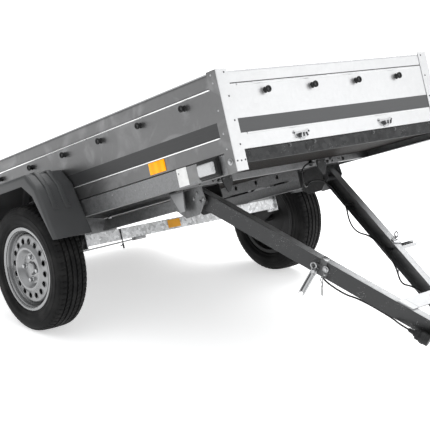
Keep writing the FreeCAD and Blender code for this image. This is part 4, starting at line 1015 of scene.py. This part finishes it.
class TRAILER_OT_hooks(bpy.types.Operator):
    """Tarpaulin knobs round the boards"""
    bl_idname = "trailer.hooks"
    bl_label = "Tarpaulin knobs"

    def execute(self, context):
        size = sizes()
        step = (size.box_length - 2 * size.hook_first) / (size.side_hooks - 1)
        side = [(-size.hook_first - index * step, -size.box_half, size.hook_height)
                for index in range(size.side_hooks)]
        ends = [(index - (size.end_hooks - 1) / 2) * size.end_hook_step for index in range(size.end_hooks)]
        front, rear = [[(x, across, size.hook_height) for across in ends] for x in (0, -size.box_length)]
        for name, place, spots, direction, body in (
                ("right", BED, side, OUTWARD, "bed"), ("left", MIRROR @ BED, side, OUTWARD, "bed"),
                ("front", BED, front, FORWARD, "bed"), ("rear", BED, rear, BACKWARD, "tailgate")):
            shape = bmesh.new()
            scatter(shape, knob_shape(), spots, direction)
            scatter(shape, knob_screw(), spots, direction, 1)
            put("knobs_" + name, shape, place, body, ["black_plastic", "dark_zinc"],
                ["tarp_hooks_" + name], 40)
        return {"FINISHED"}


POST_SKIN = 0.0025
POST_SCREWS = ((-0.566, 0.286), (-0.566, 0.198), (-0.565, 0.109), (-0.564, 0.021), (-0.594, -0.036),
               (-0.575, -0.037), (-0.556, -0.036))
POST_SIDE_SCREWS = ((-0.031, 0.285), (-0.027, 0.255), (-0.031, 0.155), (-0.031, 0.07), (-0.031, 0.014))
CORNER_BOLT = ((-0.027, -0.034),)
SILL_BOLTS = (-0.318, -0.184, 0.159, 0.293)
BEAM_BOLTS = ((0.262, -0.055), (0.3, -0.056), (0.322, -0.062), (0.345, -0.05))
KEEPER_CLAWS = ((0.229, 24), (0.246, -8), (0.263, -26))
CHEEK_FACE = -0.4045
CHEEK_BOLTS = ((-0.449, -0.123), (-0.506, -0.111), (-0.48, -0.093))
GUSSET = ((-0.609, -0.076), (-0.526, -0.076), (-0.539, -0.154), (-0.568, -0.154))
FRAME_RIVETS = ((-0.33, -0.02), (-0.56, -0.028), (-0.62, -0.028), (-0.78, -0.02), (-0.56, -0.055))


def box_screws():
    """Screws, bolts and rivets on one side of the box and on the chassis below it."""
    half, long = sizes().box_half, sizes().box_length
    shape = bmesh.new()
    front = [(POST_SKIN, y, z) for y, z in POST_SCREWS]
    scatter(shape, round_head(0.0038, 0.0018), front, FORWARD, 1)
    rear = [(-long - POST_SKIN, y - 0.02, z) for y, z in POST_SCREWS if z > 0]
    scatter(shape, round_head(0.0038, 0.0018), rear, BACKWARD, 1)
    for made, rows, y, paint in ((round_head(0.0042, 0.002), POST_SIDE_SCREWS, -half - POST_SKIN, 0),
                                 (hexagon_bolt(0.0085, 0.006, 0.0125), CORNER_BOLT, -half - POST_SKIN, 0),
                                 (round_head(0.0042, 0.002), FRAME_RIVETS, -half, 2)):
        spots = [(place, y, z) for x, z in rows for place in (x, -long - x)]
        scatter(shape, made, spots, OUTWARD, paint)
    return shape


def front_bolts():
    """What holds the front sill, the crossbeam and the keepers, and the keepers' claws."""
    shape = bmesh.new()
    scatter(shape, hexagon_bolt(0.0055, 0.004, 0.008), [(0, y, -0.008) for y in SILL_BOLTS], FORWARD, 2)
    scatter(shape, round_head(0.0125, 0.002), [(0, -0.228, -0.025)], FORWARD, 1)
    for hand in (1, -1):
        bolts = [(-0.43, hand * across, up) for across, up in BEAM_BOLTS]
        scatter(shape, hexagon_bolt(0.0062, 0.005, 0.0095), bolts, FORWARD, 2)
        rivets = [(0.003, hand * across, 0.034) for across in (0.206, 0.284)]
        scatter(shape, round_head(0.0042, 0.0022), rivets, FORWARD, 2)
        for across, lean in KEEPER_CLAWS:
            claw = block((0, -0.0022, -0.007), (0.0155, 0.0022, 0.0085), 0.0008, 1)
            stamp(shape, claw, at((0.0025, hand * across, 0.022)) @ tilt(lean, "X"), 2)
    return shape


def hinge_bolts():
    """Bolts, pin end and gusset on a hinge bracket."""
    shape = bmesh.new()
    scatter(shape, hexagon_bolt(0.0078, 0.006, 0.011), [(x, CHEEK_FACE, z) for x, z in CHEEK_BOLTS], OUTWARD)
    scatter(shape, pin(0.0085, 0.008, 20, 0.0012), [(DRAWBAR_AXIS.x, CHEEK_FACE, DRAWBAR_AXIS.z)], OUTWARD)
    stamp(shape, plate(GUSSET, 0.0008), at((0, -0.4401, 0)) @ TURN_OUTWARD, 1)
    return shape


class TRAILER_OT_fasteners(bpy.types.Operator):
    """Screws, rivets and bolts on the box and the chassis"""
    bl_idname = "trailer.fasteners"
    bl_label = "Fasteners"

    def execute(self, context):
        both_hands("box_screws", box_screws, BED, "bed", ["bright_zinc", "dark_zinc", "galvanised"])
        put("front_bolts", front_bolts(), BED, "bed", ["bright_zinc", "black_plastic", "dark_zinc"])
        both_hands("hinge_bolts", hinge_bolts, BED, "bed", ["galvanised", "bright_zinc"])
        return {"FINISHED"}


def front_lamp():
    """A position lamp: a rounded rubber base with a seal lip round its lens, and two reflector bowls."""
    shape = block((-0.2, -0.6105, -0.0735), (-0.085, -0.6, 0.0005), 0.004, 3)
    stamp(shape, block((-0.197, -0.6215, -0.0695), (-0.086, -0.606, -0.0032), 0.0075, 4))
    bowl = turned([(0, 0.001), (0.008, 0.0015), (0.015, 0.005), (0.0185, 0.0105), (0.0195, 0.0105)], 28)
    scatter(shape, bowl, [(x, -0.6212, -0.0365) for x in (-0.116, -0.159)], OUTWARD, 1)
    return shape


def front_lens():
    """A frosted lens, its face smaller than its foot."""
    shape = block((-0.189, -0.6345, -0.0605), (-0.093, -0.6195, -0.0125), 0, 1)
    face = [vert for vert in shape.verts if vert.co.y < -0.63]
    middle = Vector((-0.141, 0, -0.0365))
    bmesh.ops.scale(shape, verts=face, vec=(0.86, 1, 0.82), space=at(-middle))
    return rounded(shape, 0.0065, 5)


def rear_lamp():
    """A rear lamp cluster: black housing with red, amber and clear fields."""
    back = -sizes().box_length
    shape = block((back - 0.012, -0.55, -0.068), (back, -0.39, -0.006), 0.004, 3)
    for start, end, paint in ((-0.546, -0.5, 2), (-0.498, -0.44, 1), (-0.438, -0.394, 3)):
        stamp(shape, block((back - 0.034, start, -0.064), (back - 0.01, end, -0.01), 0.005, 3), paint=paint)
    return shape


def side_reflector():
    """An amber side reflector on its thin base."""
    shape = block((-0.498, -0.6035, 0.008), (-0.396, -0.6, 0.054), 0.0015)
    stamp(shape, block((-0.4955, -0.605, 0.0105), (-0.3985, -0.602, 0.0515), 0.0012))
    return shape


class TRAILER_OT_lamps(bpy.types.Operator):
    """Lamps, reflectors and blank plates"""
    bl_idname = "trailer.lamps"
    bl_label = "Lamps and plates"

    def execute(self, context):
        both_hands("front_lamp_housing", front_lamp, BED, "bed", ["cable", "bright_zinc"], ["front_lamp_base"])
        both_hands("front_lamp_cover", front_lens, BED, "bed", ["clear_lens"], ["front_lamp_lens"], 60)
        both_hands("rear_lamp_cluster", rear_lamp, BED, "bed",
                   ["black_plastic", "red_lens", "amber_lens", "clear_lens"], ["rear_lamp"])
        both_hands("side_marker", side_reflector, BED, "bed", ["amber_lens"], ["side_reflector"])
        plates = bmesh.new()
        stamp(plates, block((-0.341, -0.6006, -0.07), (-0.28, -0.5998, -0.001), 0.0002, 1))
        grey = plate(((-0.275, -0.062), (-0.189, -0.06), (-0.205, -0.006), (-0.275, -0.002)), 0.0006)
        stamp(plates, grey, at((0, -0.5998, 0)) @ TURN_OUTWARD, 1)
        put("blank_labels", plates, BED, "bed", ["label", "grey_label"])
        return {"FINISHED"}


LOCK_PLATES = (((0.5302, -0.0045, -0.03), (0.588, -0.0002, 0.012), 1),
               ((0.543, -0.004, 0.01), (0.572, -0.0002, 0.038), 1),
               ((0.543, -0.004, 0.0348), (0.572, 0.03, 0.038), 0))
CHANNEL = ((-0.011, -0.012), (-0.011, 0.004), (-0.0085, 0.010), (0.0085, 0.010), (0.011, 0.004),
           (0.011, -0.012), (0.0085, -0.012), (0.0085, 0.0035), (0.0068, 0.0075), (-0.0068, 0.0075),
           (-0.0085, 0.0035), (-0.0085, -0.012))


def lock_shape(thrown):
    """A toggle lock on a rail: wrap plate, eye, pivot and channel handle, hanging or thrown outward."""
    shape = bmesh.new()
    for low, high, paint in LOCK_PLATES:
        stamp(shape, block(low, high), paint=paint)
    stamp(shape, pin(0.0075, 0.034, 20, 0.0008), facing((0.5402, -0.003, -0.012), OUTWARD))
    stamp(shape, hexagon_bolt(0.0095, 0.007, 0.013), facing((0.574, -0.0045, 0.006), OUTWARD))
    stamp(shape, round_head(0.0045, 0.002), facing((0.578, -0.0045, -0.019), OUTWARD))
    if thrown:
        down = at((0.5402, -0.013, -0.012)) @ tilt(-90, "X") @ tilt(18, "Y")
        ring_place = (0.524, -0.004, 0.046)
        stamp(shape, pin(0.003, 0.034, 14, 0.0005), facing((0.5315, -0.006, 0.008), (-0.2, 0.05, 1)))
    else:
        down = at((0.5402, -0.0165, -0.004)) @ tilt(8, "Y")
        ring_place = (0.529, -0.02, 0.004)
    down = down @ tilt(180, "X") @ tilt(180, "Z")
    stamp(shape, plate(CHANNEL, 0.131, 0.0006, 1), down)
    for across in (-0.0085, 0.0052):
        stamp(shape, block((across, -0.001, 0.003), (across + 0.0033, 0.0042, 0.128), 0, 1), down, 1)
    for end in (0.012, 0.026):
        stamp(shape, pin(0.0035, 0.026, 14, 0.0005), down @ facing((-0.013, -0.004, end), FORWARD))
    corners = [step * math.tau / 10 for step in range(10)]
    ring = [(0.012 * math.cos(angle), 0, 0.012 * math.sin(angle)) for angle in corners]
    stamp(shape, wire(ring, 0.0028, closed=True), at(ring_place))
    return shape


def spring_clip():
    """An R-shaped spring clip that hangs from its wire."""
    shape = wire([(0, 0, 0), (0.001, 0, -0.02), (-0.001, 0, -0.045), (0.0, 0, -0.08)], 0.0016)
    bow = [(0.0005, 0, 0), (0.010, 0, -0.006), (0.013, 0, -0.017), (0.004, 0, -0.026), (0.0015, 0, -0.036),
           (0.008, 0, -0.046), (0.0045, 0, -0.056), (0.003, 0, -0.078)]
    stamp(shape, wire(bow, 0.0016))
    return shape


def hanging_clip():
    """A spring clip on its wire, hanging plumb from a lock at rest."""
    start = Vector((0.575, -0.012, -0.02))
    shape = wire([(0.572, -0.012, 0.004), (0.576, -0.016, -0.004), (0.578, -0.014, -0.016), start], 0.0012)
    plumb = RAIL.inverted().to_3x3() @ Vector((0, 0, -1))
    stamp(shape, spring_clip(), at(start) @ plumb.to_track_quat("-Z", "Y").to_matrix().to_4x4())
    return shape


class TRAILER_OT_locks(bpy.types.Operator):
    """Toggle locks and spring clips on the rails"""
    bl_idname = "trailer.locks"
    bl_label = "Locks"

    def execute(self, context):
        for side, hand in SIDES:
            put("toggle_lock_" + side, lock_shape(side == "left"), hand @ RAIL, "drawbar",
                ["bright_zinc", "dark_zinc"], ["drawbar_lock_" + side])
        both_hands("spring_clip", hanging_clip, RAIL, "drawbar", ["mid_zinc"])
        return {"FINISHED"}


AXLE_FACE = -1.08


def axle_tie():
    """A cable tie round the axle tube, with its head."""
    shape = wire([(-1.077, -0.386, -0.15), (-1.077, -0.386, -0.2), (-1.079, -0.386, -0.222),
                  (-1.1, -0.386, -0.224)], 0.0022)
    stamp(shape, block((-1.081, -0.3895, -0.238), (-1.0765, -0.3825, -0.214), 0.0008, 1))
    return shape


def axle_bolts():
    """Clamp bolts over and before the axle."""
    shape = bmesh.new()
    scatter(shape, hexagon_bolt(0.0085, 0.006, 0.012), [(x, -0.54, -0.143) for x in (-1.091, -1.119)], UPWARD)
    front = [(AXLE_FACE + 0.0001, y, -0.09) for y in (-0.425, -0.56)]
    scatter(shape, hexagon_bolt(0.007, 0.005, 0.0105), front, FORWARD)
    return shape


class TRAILER_OT_axle_details(bpy.types.Operator):
    """Blank plate, cable tie, rod and clamp bolts on the axle"""
    bl_idname = "trailer.axle_details"
    bl_label = "Axle details"

    def execute(self, context):
        tag = block((AXLE_FACE - 0.0002, -0.115, -0.19), (AXLE_FACE + 0.0008, -0.042, -0.153), 0.0002, 1)
        put("axle_plate", tag, BED, "bed", ["amber_plate"])
        rod = block((-1.112, -0.31, -0.212), (-1.083, -0.25, -0.1925), 0.0015)
        stamp(rod, pin(0.0032, 0.33, 14), facing((-1.1, -0.603, -0.2145), (0, 1, 0.028)))
        put("axle_rod", rod, BED, "bed", ["galvanised"])
        put("axle_tie", axle_tie(), BED, "bed", ["cable"])
        both_hands("axle_bolts", axle_bolts, BED, "bed", ["bright_zinc"])
        return {"FINISHED"}


BED_CABLE = ((-0.429, 0.215, -0.057), (-0.38, 0.211, -0.057), (-0.396, 0.117, -0.063), (-0.408, 0.123, -0.15),
             (-0.455, 0.189, -0.152), (-0.471, 0.221, -0.131), (-0.471, 0.2567, -0.131))
CABLE_START = ((0, 0.257, 0), (0.002, 0.305, 0), (0.062, 0.313, -0.004))
LEFT_RUN = ((0.1285, 0.046, -0.012), (0.2047, 0.042, -0.016), (0.2678, 0.042, -0.066), (0.3451, 0.042, -0.068),
            (0.4248, 0.042, -0.026), (0.545, 0.042, -0.012), (0.645, 0.042, -0.026), (0.7116, 0.042, -0.066),
            (0.7783, 0.042, -0.026), (0.8687, 0.042, -0.004))
RIGHT_RUN = ((0.8687, 0.042, -0.004), (0.545, 0.042, -0.006), (0.545, 0.042, -0.066), (0.6676, 0.024, -0.068),
             (0.7354, 0.014, -0.044), (0.88, 0.01, -0.042), (0.918, -0.026, -0.0285),
             (0.9587, -0.026, -0.0285))
CABLE_RADIUS = 0.0035
PLUG_PLACE = (0.9585, -0.026, -0.0285)
TIE_PLACES = (LEFT_RUN[1], LEFT_RUN[5], LEFT_RUN[9])


def plug_shape():
    """A round plug: tapered boot, gripped collar, barrel and lid."""
    shape = turned([(0, 0), (0.0045, 0), (0.0066, 0.002), (0.0088, 0.022), (0.0128, 0.0255), (0.0132, 0.031),
                    (0.018, 0.0345), (0.018, 0.049), (0.0214, 0.0515), (0.022, 0.054), (0.022, 0.0835),
                    (0.0205, 0.086), (0.0205, 0.0875), (0, 0.0875)], 40)
    for index in range(14):
        stamp(shape, block((0.0165, -0.0018, 0.035), (0.0195, 0.0018, 0.0485), 0.0006, 1), spun(index, 14))
    ring = turned([(0.006, 0), (0.0088, 0), (0.0088, 0.0022), (0.006, 0.0022)], 24, True)
    scatter(shape, ring, [(0, 0, height) for height in (0.006, 0.011, 0.016)], UPWARD)
    return moved(shape, facing(PLUG_PLACE, FORWARD))


def cable_clips():
    """Clips that hold the cable to a rail."""
    shape = bmesh.new()
    for x, across, up in TIE_PLACES:
        low, high = (x - 0.0024, 0.0025, up - 0.0062), (x + 0.0024, across + 0.0052, up + 0.0062)
        stamp(shape, block(low, high, 0.0012))
    return shape


class TRAILER_OT_cables(bpy.types.Operator):
    """Lighting cable from the chassis to the parked plug"""
    bl_idname = "trailer.cables"
    bl_label = "Cable and plug"

    def execute(self, context):
        shape = wire(BED_CABLE, CABLE_RADIUS)
        stamp(shape, turned([(0.003, 0), (0.0125, 0), (0.0125, 0.003), (0.0075, 0.007), (0.003, 0.0085)], 24),
              facing(BED_CABLE[0], FORWARD))
        put("chassis_lead", shape, BED, "bed", ["cable"], ["cable_chassis"], 60)
        rail = DRAWBAR.inverted() @ RAIL
        points = [Vector(point) for point in CABLE_START]
        points += [MIRROR @ (rail @ Vector(point)) for point in LEFT_RUN]
        points += [rail @ Vector(point) for point in RIGHT_RUN]
        put("drawbar_lead", wire(points, CABLE_RADIUS), DRAWBAR, "drawbar", ["cable"], ["cable_drawbar"], 60)
        shape = plug_shape()
        stamp(shape, turned([(0.0218, 0), (0.024, 0), (0.024, 0.012), (0.0218, 0.012)], 32, True),
              facing((1.016, *PLUG_PLACE[1:]), FORWARD))
        stamp(shape, block((1.016, -0.008, -0.0335), (1.028, -0.0002, -0.0235), 0.001, 1))
        put("parked_plug", shape, RAIL, "drawbar", ["black_plastic"], ["trailer_plug"])
        both_hands("cable_clips", cable_clips, RAIL, "drawbar", ["cable"])
        return {"FINISHED"}


def gate_latch():
    """An over-centre latch on a rear post: plate, lever, bail and hook."""
    back = -sizes().box_length - 0.0022
    shape = block((back - 0.0025, -0.598, 0.17), (back, -0.574, 0.238))
    stamp(shape, block((back - 0.011, -0.5945, 0.186), (back - 0.0025, -0.5775, 0.262), 0.0022, 3))
    stamp(shape, pin(0.003, 0.026, 16, 0.0005), facing((back - 0.0068, -0.599, 0.19), (0, 1, 0)))
    bail = [(-0.0068, -0.5975, 0.205), (-0.0072, -0.5975, 0.18), (-0.0068, -0.597, 0.148),
            (-0.0062, -0.586, 0.142), (-0.0068, -0.575, 0.148), (-0.0072, -0.5745, 0.18),
            (-0.0068, -0.5745, 0.205)]
    stamp(shape, wire(bail, 0.0018), at((back, 0, 0)))
    stamp(shape, block((back - 0.009, -0.5915, 0.136), (back, -0.5805, 0.146)))
    return shape


class TRAILER_OT_rear_fittings(bpy.types.Operator):
    """Latches of the tailgate and its blank number plate"""
    bl_idname = "trailer.rear_fittings"
    bl_label = "Rear fittings"

    def execute(self, context):
        both_hands("gate_latch", gate_latch, BED, "bed", ["bright_zinc"])
        back = -sizes().box_length
        shape = block((back - 0.006, -0.26, -0.066), (back - 0.002, 0.26, -0.004), 0.0015, 2)
        stamp(shape, block((back - 0.0075, -0.256, -0.062), (back - 0.0055, 0.256, -0.008), 0.0006, 1), paint=1)
        screws = [(back - 0.0075, across, -0.035) for across in (-0.2, 0.2)]
        scatter(shape, round_head(0.004, 0.002), screws, BACKWARD, 2)
        put("number_plate", shape, BED, "bed", ["black_plastic", "label", "bright_zinc"])
        return {"FINISHED"}


class TRAILER_PT_panel(bpy.types.Panel):
    """Lists the trailer's sizes, colours and pieces"""
    bl_idname = "TRAILER_PT_panel"
    bl_label = "Utility trailer"
    bl_space_type = "VIEW_3D"
    bl_region_type = "UI"
    bl_category = "Trailer"

    def draw(self, context):
        layout = self.layout
        for group in (context.scene.trailer_sizes, context.scene.trailer_colours):
            box = layout.box()
            for name in group.__annotations__:
                box.prop(group, name)
        for operator in OPERATORS:
            layout.operator(operator.bl_idname)


OPERATORS = (TRAILER_OT_stage, TRAILER_OT_cad_finishes, TRAILER_OT_cables, TRAILER_OT_tyres, TRAILER_OT_rims,
             TRAILER_OT_mudguards, TRAILER_OT_hooks, TRAILER_OT_fasteners, TRAILER_OT_lamps, TRAILER_OT_locks,
             TRAILER_OT_axle_details, TRAILER_OT_rear_fittings)
CLASSES = (TrailerSizes, TrailerColours) + OPERATORS + (TRAILER_PT_panel,)


def register():
    for item in CLASSES:
        bpy.utils.register_class(item)
    bpy.types.Scene.trailer_sizes = PointerProperty(type=TrailerSizes)
    bpy.types.Scene.trailer_colours = PointerProperty(type=TrailerColours)


def unregister():
    del bpy.types.Scene.trailer_colours
    del bpy.types.Scene.trailer_sizes
    for item in reversed(CLASSES):
        bpy.utils.unregister_class(item)


def main():
    register()
    for operator in OPERATORS:
        group, name = operator.bl_idname.split(".")
        getattr(getattr(bpy.ops, group), name)()


if __name__ == "__main__":
    main()
